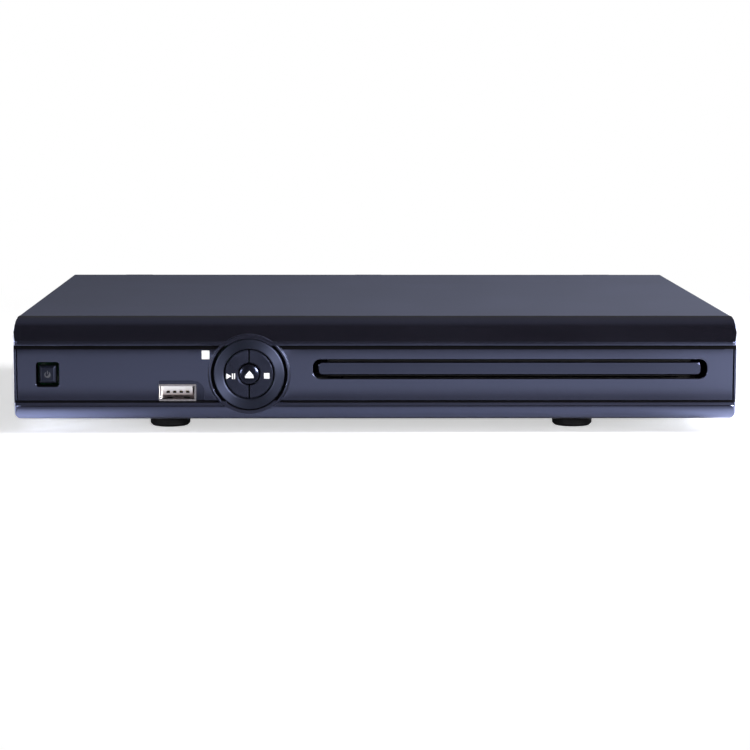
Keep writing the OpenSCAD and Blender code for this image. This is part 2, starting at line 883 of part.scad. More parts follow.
module power_switch() {
    body_h = 8.4;
    body_l = 12;
    color("#3f4046")
        translate([power_x, 0, power_z])
            difference() {
                along_y(board_rear_y, board_rear_y + body_l)
                    square([body_h, body_h], center = true);
                along_y(board_rear_y - 1, board_rear_y + 3 + power_push + 0.6)
                    square([switch_hole, switch_hole], center = true);
            }
}

module indicator_led() {
    led_r = 1.5;
    tip = wall_y + 1.3;
    color("#dfe6ee")
        turned_y(window_x, window_z)
            polygon(concat([[0, board_y], [0, tip]], bow([0, tip + led_r], led_r, led_r, 270, 360, 6),
                [[led_r, board_y - 2.6], [led_r + 0.5, board_y - 2.6], [led_r + 0.5, board_y]]));
}

module remote_sensor() {
    w = 5.8;
    x = port_x - 17;
    z = groove_z - 4;
    color("#23232a") {
        block(x - w / 2, x + w / 2, board_y - 2.8, board_y, z - 3.4, z + 3.4);
        rod_y(x, z + 0.6, 2.2, board_y - 4.4, board_y - 2.7, 32);
    }
}

port_lip = 0.35;

module port_shell() {
    color("#c9c8c6")
        translate([port_x, 0, port_z])
            difference() {
                union() {
                    along_y(port_front, board_y)
                        square([port_w, port_h], center = true);
                    along_y(port_front - 0.15, port_front + 0.15)
                        square([port_w + 2 * port_lip, port_h + 2 * port_lip], center = true);
                }
                along_y(port_front - 1, board_y + 1)
                    square([port_w - 2 * port_t, port_h - 2 * port_t], center = true);
                for (x = [-1, 1])
                    translate([x * port_w * 0.24, 0, 0])
                        along_y(port_front + 3, port_front + 7)
                            translate([0, -port_h / 2])
                                square([2.2, 2 * port_t], center = true);
            }
}

contact_pitch = 2.35;
contact_w = 1.2;
contact_h = 0.5;
tongue_front = port_front + 0.9;
tongue_w = port_w - 2 * port_t - 1.3;
tongue_h = 3.4;
slot_rise = 0.4;

module port_tongue() {
    inner_w = port_w - 2 * port_t;
    inner_h = port_h - 2 * port_t;
    color("#ece9e4")
        translate([port_x, 0, port_z])
            difference() {
                union() {
                    along_y(board_y - 1.8, board_y)
                        square([inner_w, inner_h], center = true);
                    along_y(tongue_front, board_y - 1.7)
                        translate([0, (inner_h - tongue_h) / 2 - 0.05])
                            square([tongue_w, tongue_h], center = true);
                }
                for (i = [-1.5:1.5])
                    translate([i * contact_pitch, 0, 0])
                        along_y(tongue_front - 1, board_y + 1)
                            translate([0, slot_rise])
                                square([contact_w, contact_h], center = true);
            }
}

module port_contacts() {
    color("#8f7a4a")
        for (i = [-1.5:1.5])
            translate([port_x + i * contact_pitch, 0, port_z])
                along_y(tongue_front + 2, board_y)
                    translate([0, slot_rise])
                        square([contact_w, contact_h], center = true);
}

// ---- Tray ----

pitch = PI * tooth_m;
rack_start = gear_y - 2 * pitch;
rack_teeth = floor((tray_end - rack_start) / pitch - 0.25);

// Teeth that point to -X, each centred half a pitch off the gear's middle
function rack_line() =
    let (half = pitch / 4 - backlash / 4, out = tooth_add * tan(pressure), in = tooth_ded * tan(pressure))
    [for (i = [0:rack_teeth - 1]) for (p = [[tooth_ded, -half - in], [-tooth_add, out - half],
        [-tooth_add, half - out], [tooth_ded, half + in]])
        [rack_x + p[0], rack_start + (i + 0.5) * pitch + p[1]]];

module tray_plan_low() {
    inner = tray_left + rail_w;
    right = slot_x + tray_half;
    polygon(concat([[inner, rack_start], [tray_left, rack_start], [tray_left, tray_y],
        [right, tray_y], [right, tray_end], [inner, tray_end]]));
    polygon(concat([[inner + 0.5, rack_start], [rack_x + tooth_ded, rack_start]], rack_line(),
        [[rack_x + tooth_ded, tray_end], [inner + 0.5, tray_end]]));
}

module tray_plan_high() {
    translate([tray_left, tray_y])
        square([tray_w, tray_end - tray_y]);
}

module disc_tray() {
    pocket_r = pocket_d / 2;
    scoop_r = 13;
    rear_step = spindle_y + pocket_r * 0.62;
    color("#2a2b31")
        difference() {
            union() {
                translate([0, 0, tray_z])
                    linear_extrude(flange_z - tray_z)
                        tray_plan_low();
                translate([0, 0, flange_z])
                    linear_extrude(tray_top - flange_z)
                        tray_plan_high();
            }
            rod_z(slot_x, spindle_y, pocket_r, floor_z, tray_top + 1, 128);
            rod_z(slot_x, spindle_y, small_pocket_d / 2, floor_z - 0.5, tray_top + 1, 96);
            rod_z(slot_x, spindle_y, keyhole_w / 2, tray_z - 1, tray_top + 1, 72);
            block(slot_x - keyhole_w / 2, slot_x + keyhole_w / 2, spindle_y, tray_end + 1,
                tray_z - 1, tray_top + 1);
            for (side = [-1, 1])
                for (k = [-1, 1])
                    rod_z(slot_x + side * (pocket_r - 6), spindle_y + k * (pocket_r - 16), scoop_r * 0.72,
                        floor_z + 0.8, tray_top + 1, 48);
            block(slot_x - tray_half + 5.5, slot_x + tray_half - 5.5, rear_step, tray_end + 1,
                floor_z + 1.6, tray_top + 1);
            block(slot_x - tray_half + 7, slot_x + tray_half - 7, tray_y + 3, tray_end - 3,
                tray_z - 1, floor_under);
        }
}

module tray_door() {
    edge = 0.5;
    color("#33364a")
        translate([slot_x, 0, slot_z]) {
            along_y(door_y + edge, tray_y)
                polygon(rounded(door_w, door_h, 1.6, 6));
            along_y(door_y, door_y + edge)
                polygon(rounded(door_w - edge, door_h - edge, 1.4, 6));
        }
}

// ---- Tray drive ----

base_r = pitch_r * cos(pressure);
tip_r = pitch_r + tooth_add;
root_r = pitch_r - tooth_ded;
tooth_half = 90 / gear_teeth - backlash / 4 / pitch_r * 180 / PI
    + (tan(pressure) - pressure * PI / 180) * 180 / PI;
tip_roll = sqrt(pow(tip_r / base_r, 2) - 1) * 180 / PI;

function turn(p, a) = [p[0] * cos(a) - p[1] * sin(a), p[0] * sin(a) + p[1] * cos(a)];

function gear_tooth(n = 5) =
    let (side = [for (i = [0:n]) involute(base_r, tip_roll * i / n, -tooth_half)])
    concat([root_r * [cos(tooth_half), -sin(tooth_half)]], side,
        [for (i = [n:-1:0]) [side[i][0], -side[i][1]]], [root_r * [cos(tooth_half), sin(tooth_half)]]);

function gear_line() =
    [for (k = [0:gear_teeth - 1]) for (p = gear_tooth()) turn(p, k * 360 / gear_teeth)];

module drive_gear() {
    groove_z0 = (pulley_h - belt_t - 0.2) / 2;
    groove_r = pulley_r - groove_root;
    hub_r = 5.6;
    color("#d9d6cc")
        translate([gear_x, gear_y, 0])
            difference() {
                union() {
                    translate([0, 0, gear_z])
                        linear_extrude(gear_h)
                            polygon(gear_line());
                    translate([0, 0, pulley_z])
                        rotate_extrude($fn = 96)
                            polygon([[0, 0], [pulley_r, 0], [pulley_r, groove_z0],
                                [groove_r, groove_z0], [groove_r, pulley_h - groove_z0],
                                [pulley_r, pulley_h - groove_z0], [pulley_r, pulley_h],
                                [hub_r, pulley_h], [hub_r, gear_z - pulley_z + 0.1],
                                [0, gear_z - pulley_z + 0.1]]);
                }
                rod_z(0, 0, post_r + pin_gap, pulley_z - 1, gear_z + gear_h + 1, 32);
                for (i = [0:4])
                    rotate([0, 0, i * 72])
                        rod_z((hub_r + groove_r) / 2, 0, 1.9, pulley_z - 1, gear_z - 0.2, 24);
            }
}

module motor_pulley() {
    groove_z0 = (pulley_h - belt_t - 0.2) / 2;
    groove_r = motor_pulley_r - groove_root;
    color("#d9d6cc")
        translate([load_motor_x, load_motor_y, pulley_z])
            rotate_extrude($fn = 64)
                polygon([[motor_shaft_r + pin_gap, 0], [motor_pulley_r, 0], [motor_pulley_r, groove_z0],
                    [groove_r, groove_z0], [groove_r, pulley_h - groove_z0],
                    [motor_pulley_r, pulley_h - groove_z0], [motor_pulley_r, pulley_h],
                    [motor_shaft_r + pin_gap, pulley_h]]);
}

module drive_belt() {
    p = [gear_x, gear_y];
    q = [load_motor_x, load_motor_y];
    rp = pulley_r - groove_root + 0.08;
    rq = motor_pulley_r - groove_root + 0.08;
    color("#101012")
        translate([0, 0, pulley_z + (pulley_h - belt_t) / 2])
            linear_extrude(belt_t)
                difference() {
                    polygon(belt_line(p, rp + belt_t, q, rq + belt_t));
                    polygon(belt_line(p, rp, q, rq));
                }
}

module loading_motor() {
    low = motor_deck_z - load_motor_h;
    color("#b4b6ba")
        translate([load_motor_x, load_motor_y, 0])
            rotate_extrude($fn = 72)
                polygon([[0, low], [3, low], [3, low + 0.5], [load_motor_d / 2 - 0.8, low + 0.5],
                    [load_motor_d / 2, low + 1.3], [load_motor_d / 2, motor_deck_z],
                    [3, motor_deck_z], [3, motor_deck_z + motor_deck_t - 0.1],
                    [motor_shaft_r, motor_deck_z + motor_deck_t - 0.1],
                    [motor_shaft_r, pulley_z + pulley_h + 0.4], [0, pulley_z + pulley_h + 0.4]]);
}

module pair() {
    children();
    mirror([1, 0, 0])
        children();
}

// Two places of the bridge's screws on one side, from the loader's middle
bridge_spots = [for (k = [-1, 1]) [bridge_boss_x, spindle_y + k * (bridge_w / 2 - 5)]];

// What the loader frame has alike on both sides, from the loader's middle
module loader_side() {
    lug = window_half + 3.6;
    guide = window_half + 4;
    block(wall_in, wall_out, load_front, load_rear, pan_z, load_top);
    block(wall_in - 4.5, wall_in + 0.5, load_front, load_rear, ledge_top - 2.5, ledge_top);
    for (y = [load_front, spindle_y - 14, spindle_y + 40])
        block(wall_in - 3, wall_in + 0.5, y, y + 11, tab_z, load_top);
    block(window_half, lug, pivot_y - 3.6, pivot_y + 3.6, pan_z, pivot_z + 3.6);
    block(guide, guide + 5, cam_front - 2, cam_front + cam_t + 2.4, cam_top + 0.3, cam_top + 1.4);
    block(guide, guide + 5, cam_front + cam_t + 0.3, cam_front + cam_t + 2.4, pan_z, cam_top + 1.4);
    for (p = bridge_spots)
        rod_z(p[0], p[1], 2.6, load_top - 9, load_top, 32);
}

module loader_bores() {
    rod_x(pivot_y, pivot_z, pivot_r + pin_gap, window_half - 1, window_half + 5, 48);
    for (p = bridge_spots)
        rod_z(p[0], p[1], screw_r, load_top - 8, load_top + 1, 24);
}

// Deck over the loading motor, with its legs and the gear's post
module motor_deck() {
    left = load_motor_x - load_motor_d / 2 - 1.5;
    front = gear_y - 11;
    back = load_motor_y + load_motor_d / 2 + 1.5;
    leg_r = 2.2;
    block(left, slot_x - wall_in, front, back, motor_deck_z, motor_deck_z + motor_deck_t);
    for (p = [[left + leg_r, back - leg_r], [left + leg_r, load_motor_y - load_motor_d / 2 + 0.8],
        [gear_x - 9, front + leg_r]])
        rod_z(p[0], p[1], leg_r, pan_z, motor_deck_z + 0.2, 32);
    rod_z(gear_x, gear_y, post_r + 1.2, motor_deck_z + 0.5, pulley_z - 0.1, 32);
    rod_z(gear_x, gear_y, post_r, motor_deck_z + 0.5, gear_z + gear_h + 0.8, 32);
}

module loader_frame() {
    notch = pulley_r + 1;
    floor_top = pan_z + load_floor;
    color("#3b3c42")
        difference() {
            union() {
                translate([slot_x, 0, 0]) {
                    block(-wall_out, wall_out, load_front, load_rear, pan_z, floor_top);
                    block(-wall_out, wall_out, load_front, load_front + 2.4, pan_z, ledge_top - 1);
                    block(-wall_out, wall_out, load_rear - 2.4, load_rear, pan_z, load_top - 3);
                    block(-wall_out, wall_out, cam_front - 2.8, cam_front - 0.3, pan_z, cam_top + 1.4);
                    pair()
                        loader_side();
                }
                for (p = loader_spots)
                    rod_z(p[0], p[1], 4, pan_z, pan_z + loader_pad, 32);
                motor_deck();
            }
            translate([slot_x, 0, 0]) {
                block(-window_half, window_half, frame_front - 1, pivot_y + 5, pan_z - 1, floor_top + 0.5);
                block(-60, 60, load_front + 8, cam_front - 6, pan_z - 1, floor_top + 0.5);
                block(3 - wall_in, wall_in - 3, cam_front - 0.3, cam_front + cam_t + 0.3,
                    cam_bottom - 0.2, floor_top + 0.5);
                block(-wall_out - 1, 6 - wall_in, gear_y - notch, cam_front,
                    motor_deck_z + motor_deck_t, gear_z + gear_h + 0.5);
                pair()
                    loader_bores();
            }
            rod_z(load_motor_x, load_motor_y, 3.15, motor_deck_z - 1, motor_deck_z + motor_deck_t + 1, 32);
            for (p = loader_spots)
                rod_z(p[0], p[1], screw_r + 0.25, pan_z - 1, pan_z + 4, 24);
        }
}

module loader_screws() {
    color("#8a8c92")
        for (p = loader_spots)
            screw_down(p[0], p[1], pan_z + loader_pad, loader_pad + sheet_t);
}

// ---- Clamp ----

bridge_top = load_top + bridge_t;
bridge_half = bridge_boss_x + 3;

module clamp_bridge() {
    rib = bridge_w / 2;
    color("#9b9da4")
        translate([slot_x, 0, 0])
            difference() {
                union() {
                    translate([0, spindle_y, load_top])
                        linear_extrude(bridge_t)
                            polygon(rounded(2 * bridge_half, bridge_w, 3, 5));
                    for (y = [spindle_y - rib, spindle_y + rib - 1.2])
                        block(6 - wall_in, wall_in - 6, y, y + 1.2, load_top, bridge_top + 2.4);
                }
                rod_z(0, spindle_y, bridge_hole_r, load_top - 1, bridge_top + 1, 72);
                pair() {
                    translate([38, spindle_y, load_top - 1])
                        linear_extrude(bridge_t + 2)
                            polygon(rounded(34, bridge_w - 14, 3, 4));
                    for (p = bridge_spots)
                        rod_z(p[0], p[1], screw_r + 0.25, load_top - 1, bridge_top + 1, 24);
                }
            }
}

module bridge_screws() {
    color("#8a8c92")
        translate([slot_x, 0, 0])
            pair()
                for (p = bridge_spots)
                    screw_down(p[0], p[1], bridge_top, 6);
}

puck_z = disc_z + hub_h + 0.15;
puck_flange_z = bridge_top + 0.25;
magnet_z = disc_z + 3.2;
magnet_r = 7.4;

module clamp_puck() {
    color("#26272b")
        translate([slot_x, spindle_y, 0])
            rotate_extrude($fn = 96)
                polygon([[0, magnet_z], [0, puck_z + 1], [7.8, puck_z + 1], [7.8, puck_z],
                    [turntable_r, puck_z], [turntable_r, puck_z + 1.1], [turntable_r - 0.6, puck_z + 1.7],
                    [bridge_hole_r - 1, puck_z + 1.7], [bridge_hole_r - 1, puck_flange_z],
                    [bridge_hole_r + 2.5, puck_flange_z], [bridge_hole_r + 2.5, puck_flange_z + 0.7],
                    [bridge_hole_r + 2, puck_flange_z + 1.2], [magnet_r + 0.05, puck_flange_z + 1.2],
                    [magnet_r + 0.05, magnet_z]]);
}

module clamp_magnet() {
    color("#6d6e74")
        translate([slot_x, spindle_y, 0])
            rotate_extrude($fn = 72)
                polygon([[2.2, magnet_z], [magnet_r, magnet_z], [magnet_r, puck_flange_z + 0.6],
                    [2.2, puck_flange_z + 0.6]]);
}

// ---- Traverse ----

cam_points = [[slot_x - cam_x, cam_pin_z], [slot_x + cam_x, cam_pin_z]];

module cam_slider() {
    x0 = slot_x - wall_in + 6.4;
    x1 = slot_x + window_half + 6.4;
    color("#e4e1d8")
        along_y(cam_front, cam_front + cam_t)
            difference() {
                translate([x0, cam_bottom])
                    square([x1 - x0, cam_top - cam_bottom]);
                for (p = cam_points)
                    polygon(capsule(p - [cam_travel, cam_drop], p, cam_slot_r, 12));
                translate([slot_x, (cam_top + cam_bottom) / 2])
                    polygon(rounded(9, 5.5, 1, 3));
                translate([slot_x - 52, (cam_top + cam_bottom) / 2])
                    polygon(rounded(9, 5.5, 1, 3));
            }
}

module traverse_frame() {
    back = pivot_y + 4;
    middle = (frame_front + back) / 2;
    hole_front = frame_front + 6;
    hole_back = rod_rear + 6;
    color("#2f3036")
        difference() {
            union() {
                translate([slot_x, 0, frame_z])
                    linear_extrude(frame_t)
                        difference() {
                            translate([0, middle])
                                polygon(rounded(2 * frame_half, back - frame_front, 3, 4));
                            translate([0, (hole_front + hole_back) / 2])
                                polygon(rounded(2 * frame_hole_half, hole_back - hole_front, 2, 4));
                        }
                for (p = grommet_spots)
                    rod_z(p[0], p[1], grommet_r, frame_z, frame_z + frame_t, 40);
                translate([slot_x, 0, 0])
                    pair() {
                        rod_x(pivot_y, pivot_z, pivot_r, frame_half - 1, frame_half + pivot_reach - 0.6, 48);
                        block(cam_x - 3.4, cam_x + 3.4, frame_front, frame_front + 4,
                            frame_z, cam_pin_z + cam_pin_r + 0.8);
                        rod_y(cam_x, cam_pin_z, cam_pin_r, cam_front + 0.3, frame_front + 1, 40);
                    }
            }
            for (p = grommet_spots)
                rod_z(p[0], p[1], screw_r + 0.02, frame_z - 1, frame_z + frame_t + 1, 24);
        }
}

module deck_tab(x, y, z, r, t = 1.2) {
    difference() {
        block(x - 2.8, x + 2.8, y, y + t, z - 2.6, deck_z + 0.1);
        rod_y(x, z, r, y - 1, y + t + 1, 32);
    }
}

module deck_plate() {
    front = grommet_front - 6;
    back = grommet_rear + 6;
    slit_x = slot_x - screw_x;
    color("#a8abb1") {
        difference() {
            translate([slot_x, (front + back) / 2, deck_z])
                linear_extrude(deck_t)
                    polygon(rounded(2 * deck_half, back - front, 4, 4));
            block(slot_x - 25, slot_x + 25, rod_front, rod_rear - 1, deck_z - 1, deck_z + 2);
            block(slit_x - sled_r - 0.4, slit_x + sled_r + 0.4, sled_front, sled_front + sled_l + 0.5,
                deck_z - 1, deck_z + 2);
            rod_z(slot_x, spindle_y, 3.6, deck_z - 1, deck_z + 2, 40);
            for (p = grommet_spots)
                rod_z(p[0], p[1], neck_r + 0.02, deck_z - 1, deck_z + 2, 40);
        }
        for (x = [-1, 1]) {
            deck_tab(slot_x + x * rod_span / 2, rod_front - 1.2, rod_z, rod_r + 0.02);
            deck_tab(slot_x + x * rod_span / 2, rod_rear - 1, rod_z, rod_r + 0.02);
        }
        deck_tab(slit_x, rod_front + 1.2, lead_z, lead_r + pin_gap);
    }
}

module deck_grommets() {
    low = frame_z + frame_t;
    color("#1b1b1e")
        for (p = grommet_spots)
            translate([p[0], p[1], low])
                rotate_extrude($fn = 48)
                    polygon([[screw_r + 0.05, 0], [grommet_r, 0], [grommet_r, grommet_h],
                        [neck_r, grommet_h], [neck_r, grommet_h + deck_t],
                        [grommet_r, grommet_h + deck_t], [grommet_r, 2 * grommet_h + deck_t],
                        [screw_r + 0.05, 2 * grommet_h + deck_t]]);
}

module deck_screws() {
    color("#8a8c92")
        for (p = grommet_spots)
            screw_down(p[0], p[1], deck_z + deck_t + grommet_h,
                frame_t + deck_t + 2 * grommet_h - 0.2, 2.8, 1.2);
}

rotor_z = deck_z + deck_t + 1.1;
rotor_top = disc_z - platform_t - 1.8;

module spindle_motor() {
    low = deck_z - 3.8;
    plate = deck_z + deck_t;
    color("#7d8086") {
        difference() {
            union() {
                translate([slot_x, spindle_y, plate])
                    linear_extrude(0.8)
                        polygon(rounded(28, 26, 5, 5));
                rod_z(slot_x, spindle_y, 3.4, low, rotor_top - 1.3, 48);
                rod_z(slot_x, spindle_y, 9.4, plate + 0.7, rotor_top - 1.5, 60);
            }
            rod_z(slot_x, spindle_y, shaft_r + pin_gap, low + 0.6, rotor_top + 1, 32);
            for (i = [0:8])
                translate([slot_x, spindle_y, plate + 1])
                    rotate([0, 0, i * 40])
                        translate([5, -0.6, 0])
                            cube([6, 1.2, 4]);
        }
    }
}

module spindle_rotor() {
    low = deck_z - 3.1;
    color("#b9bbc0")
        translate([slot_x, spindle_y, 0])
            rotate_extrude($fn = 96)
                polygon([[0, low], [shaft_r, low], [shaft_r, rotor_top - 1], [rotor_r - 0.9, rotor_top - 1],
                    [rotor_r - 0.9, rotor_z], [rotor_r, rotor_z], [rotor_r, rotor_top - 0.4],
                    [rotor_r - 0.4, rotor_top], [shaft_r, rotor_top], [shaft_r, disc_z + 1],
                    [0, disc_z + 1]]);
}

module turntable() {
    hub_r = 7.4;
    color("#1e1f23")
        difference() {
            translate([slot_x, spindle_y, 0])
                rotate_extrude($fn = 96)
                    polygon([[shaft_r + 0.02, rotor_top], [5, rotor_top], [5, disc_z - platform_t],
                        [turntable_r, disc_z - platform_t], [turntable_r, disc_z], [hub_r, disc_z],
                        [hub_r, disc_z + 0.5], [hub_r - 1.2, disc_z + hub_h],
                        [shaft_r + 0.02, disc_z + hub_h]]);
            for (i = [0:2])
                rotate_about(slot_x, spindle_y, i * 120)
                    block(slot_x + 5.6, slot_x + hub_r + 0.5, spindle_y - 1.4, spindle_y + 1.4,
                        disc_z + 0.3, disc_z + 3);
        }
}

module rotate_about(x, y, a) {
    translate([x, y, 0])
        rotate([0, 0, a])
            translate([-x, -y, 0])
                children();
}

module guide_rods() {
    color("#d4d6da")
        for (x = [-1, 1])
            rod_y(slot_x + x * rod_span / 2, rod_z, rod_r, rod_front - 1.2, rod_rear + 0.2, 40);
}

module pickup() {
    low = rod_z - 1.9;
    high = deck_z + 2.8;
    half = rod_span / 2;
    nut_y = pickup_rear - 12;
    color("#5d6067")
        difference() {
            union() {
                translate([slot_x, 0, 0])
                    intersection() {
                        translate([0, (pickup_front + pickup_rear) / 2, low])
                            linear_extrude(high - low)
                                polygon(rounded(2 * pickup_half, pickup_rear - pickup_front, 3, 4));
                        along_x(-pickup_half, pickup_half)
                            polygon([[pickup_front, low], [pickup_rear, low], [pickup_rear, high - 2.5],
                                [pickup_rear - 5, high], [pickup_front, high]]);
                    }
                translate([slot_x, lens_y, high - 0.2])
                    linear_extrude(1.8)
                        polygon(rounded(20, 15, 2, 4));
                for (x = [-1, 1]) {
                    rod_y(slot_x + x * half, rod_z, ear_r, pickup_front + 1, pickup_front + 1 + ear_l, 40);
                    block(slot_x + (x > 0 ? pickup_half - 1 : -half),
                        slot_x + (x > 0 ? half : 1 - pickup_half),
                        pickup_front + 1, pickup_front + 1 + ear_l, rod_z - 1.9, rod_z + 1.9);
                }
                block(slot_x - screw_x - 3, slot_x - pickup_half + 1, nut_y, nut_y + 8,
                    lead_z - 2.3, lead_z + 2.2);
            }
            for (x = [-1, 1])
                rod_y(slot_x + x * half, rod_z, rod_r + pin_gap, pickup_front - 30, pickup_rear + 30, 40);
            rod_y(slot_x - screw_x, lead_z, lead_r + 0.1, nut_y - 1, nut_y + 9, 40);
            rod_z(slot_x, lens_y, 3.4, high + 0.4, high + 3, 40);
        }
}

module pickup_lens() {
    base = deck_z + 3.2;
    top = disc_z - 1.8;
    color("#8fa3c9")
        translate([slot_x, lens_y, 0])
            rotate_extrude($fn = 48)
                polygon(concat([[0, base], [3.3, base], [3.3, base + 1.6], [2.4, base + 1.6]],
                    bow([0, base + 1.6], 2.4, top - base - 1.6, 0, 90, 6)));
}

module sled_motor() {
    x = slot_x - screw_x;
    color("#b4b6ba") {
        rod_y(x, lead_z, sled_r, sled_front, sled_front + sled_l, 48);
        rod_y(x, lead_z, 1.6, sled_front + sled_l - 0.1, sled_front + sled_l + 0.8, 24);
        block(x - sled_r + 0.2, x + sled_r - 0.2, sled_front - 1, sled_front + 0.1, lead_z - 3, deck_z);
    }
}

module lead_screw() {
    x = slot_x - screw_x;
    color("#c6b987")
        rod_y(x, lead_z, lead_r, rod_front + 1, sled_front - 1.1, 40);
}

// ---- Boards at the back and the left ----

module board(left, w) {
    difference() {
        block(left, left + w, board_front, board_back, board_z, board_top);
        for (p = board_spots(left, w))
            rod_z(p[0], p[1], screw_r + 0.25, board_z - 1, board_top + 1, 24);
    }
}

module front_ribbon() {
    y0 = board_rear_y;
    y1 = board_front + 10;
    w = 14;
    x = main_left + 14;
    t = 0.5;
    rise = board_top + 3;
    color("#c9c7bd")
        along_x(x - w / 2, x + w / 2)
            polygon([[y0, rise], [y0 + 8, rise], [y0 + 12, pan_z + 1.2], [board_front - 8, pan_z + 1.2],
                [board_front - 3, rise + 3], [y1 + t, rise + 3], [y1 + t, board_top], [y1, board_top],
                [y1, rise + 3 - t], [board_front - 2.7, rise + 3 - t], [board_front - 7.7, pan_z + 1.2 - t],
                [y0 + 11.6, pan_z + 1.2 - t], [y0 + 7.6, rise - t], [y0, rise - t]]);
}

module power_board() {
    color("#a98a4a")
        board(power_left, power_board_w);
}

module transformer() {
    x = power_left + 30;
    y = board_front + 34;
    color("#c7a64a") {
        for (side = [-1, 1])
            block(x - 11, x + 11, y + side * 8 - 2.5, y + side * 8 + 2.5, board_top, board_top + 17);
        block(x - 9, x + 9, y - 6, y + 6, board_top + 3, board_top + 14);
        block(x - 11, x + 11, y - 8, y + 8, board_top, board_top + 3.2);
    }
}

module can(x, y, r, h) {
    translate([x, y, board_top])
        rotate_extrude($fn = 48)
            polygon([[0, 0], [r - 0.3, 0], [r, 0.5], [r, h - 0.6], [r - 0.6, h], [0, h]]);
}

module power_parts() {
    x = power_left;
    y = board_front;
    color("#35363c") {
        can(x + 13, y + 50, 7.5, 24);
        can(x + 12, y + 22, 4, 12);
        can(x + 22, y + 18, 4, 12);
        can(x + 38, y + 12, 5, 16);
        can(x + 40, y + 62, 3.2, 11);
        block(x + 6, x + 28, y + 32 - 20, y + 32 - 18.6, board_top, board_top + 14);
        for (i = [0:4])
            block(x + 7 + i * 4.6, x + 8 + i * 4.6, y + 7, y + 13.5, board_top, board_top + 14);
        rod_x(y + 66, board_top + 3.4, 2.6, x + 14, x + 28, 32);
        block(x + 12, x + 14.5, y + 63, y + 69, board_top, board_top + 5);
        block(x + 27.5, x + 30, y + 63, y + 69, board_top, board_top + 5);
    }
}

inlet_w = 20;
inlet_h = 14.5;
inlet_z = board_top + inlet_h / 2 + 0.6;
inlet_l = 16;
inlet_pin_x = 4.3;

module mains_inlet() {
    front = rear_y - inlet_l;
    color("#1a1a1d")
        translate([inlet_x, 0, inlet_z]) {
            difference() {
                union() {
                    along_y(front, rear_y + 0.2)
                        polygon(rounded(inlet_w, inlet_h, 2, 4));
                    along_y(rear_y, rear_y + 1.6)
                        polygon(rounded(inlet_w + 3, inlet_h + 2.4, 2.6, 4));
                    along_y(front, rear_in - 3)
                        translate([0, -inlet_h / 2 - 0.1])
                            square([inlet_w - 4, 1], center = true);
                }
                along_y(rear_y - 11, rear_y + 3)
                    polygon(belt_line([-inlet_pin_x, 0], 3.9, [inlet_pin_x, 0], 3.899, 10));
            }
            for (side = [-1, 1])
                rod_y(side * inlet_pin_x, 0, 1.15, rear_y - 11.2, rear_y - 1.2, 24);
        }
}

module main_board() {
    color("#2c6a43")
        board(main_left, main_board_w);
}

module main_chips() {
    x = main_left;
    y = board_front;
    z = board_top;
    color("#1d1e22") {
        block(x + 16, x + 36, y + 34, y + 54, z, z + 1.6);
        block(x + 38, x + 47, y + 34, y + 52, z, z + 1.2);
        block(x + 20, x + 30, y + 12, y + 28, z, z + 2.2);
        block(x + 5, x + 11, y + 36, y + 41, z, z + 1.4);
        block(x + 36, x + 46, y + 14, y + 19, z, z + 5.5);
        block(x + 6, x + 23.6, y + 6, y + 9.9, z, z + 4.6);
        block(x + 38, x + 46, y + 58, y + 64, z, z + 6);
        can(x + 7, y + 20, 3.1, 8);
        can(x + 44, y + 26, 3.1, 8);
        can(x + 30, y + 62, 2.5, 6);
        can(x + 22, y + 62, 2.5, 6);
    }
}

av_w = 15;
av_h = 5.6;
av_z = board_top + av_h / 2 + 0.1;

module av_socket() {
    color("#c3c4c8")
        translate([av_x, 0, av_z]) {
            difference() {
                along_y(rear_y - 11, rear_y + 0.5)
                    polygon([[-av_w / 2, av_h / 2], [-av_w / 2, -av_h / 4], [-av_w / 2 + 2, -av_h / 2],
                        [av_w / 2 - 2, -av_h / 2], [av_w / 2, -av_h / 4], [av_w / 2, av_h / 2]]);
                along_y(rear_y - 10, rear_y + 2)
                    polygon([[0.5 - av_w / 2, av_h / 2 - 0.5], [0.5 - av_w / 2, -av_h / 4],
                        [-av_w / 2 + 2.2, 0.5 - av_h / 2], [av_w / 2 - 2.2, 0.5 - av_h / 2],
                        [av_w / 2 - 0.5, -av_h / 4], [av_w / 2 - 0.5, av_h / 2 - 0.5]]);
            }
            along_y(rear_y - 10.2, rear_y - 2)
                square([av_w - 4, 1.2], center = true);
        }
}

module phono_block() {
    half = jack_r + 1.4;
    front = rear_in - 14;
    color("#1d1d20")
        difference() {
            union() {
                block(jack_x - half, jack_x + 2 * jack_pitch + half, front, rear_in,
                    board_top, jack_z + half);
                for (i = [0:2])
                    rod_y(jack_x + i * jack_pitch, jack_z, jack_r + 0.3, rear_in - 0.1, rear_y, 48);
            }
            for (i = [0:2])
                rod_y(jack_x + i * jack_pitch, jack_z, jack_neck_r, jack_start, rear_y + 1, 48);
        }
}

module phono_jacks() {
    bore_r = 1.6;
    color("#c9a94a")
        for (i = [0:2])
            turned_y(jack_x + i * jack_pitch, jack_z)
                polygon([[0, jack_start], [jack_neck_r, jack_start], [jack_neck_r, rear_y],
                    [jack_r, rear_y], [jack_r, rear_y + jack_out], [bore_r, rear_y + jack_out],
                    [bore_r, jack_start + 1], [0, jack_start + 1]]);
}

module board_screws() {
    color("#8a8c92") {
        for (p = rear_board_spots)
            screw_down(p[0], p[1], board_top, board_t + 4, 2.6, 1.5);
        for (p = board_posts)
            translate([p[0], board_rear_y, p[1]])
                rotate([-90, 0, 0])
                    screw_down(0, 0, 0, board_t + 5, 2.6, 1.5);
    }
}

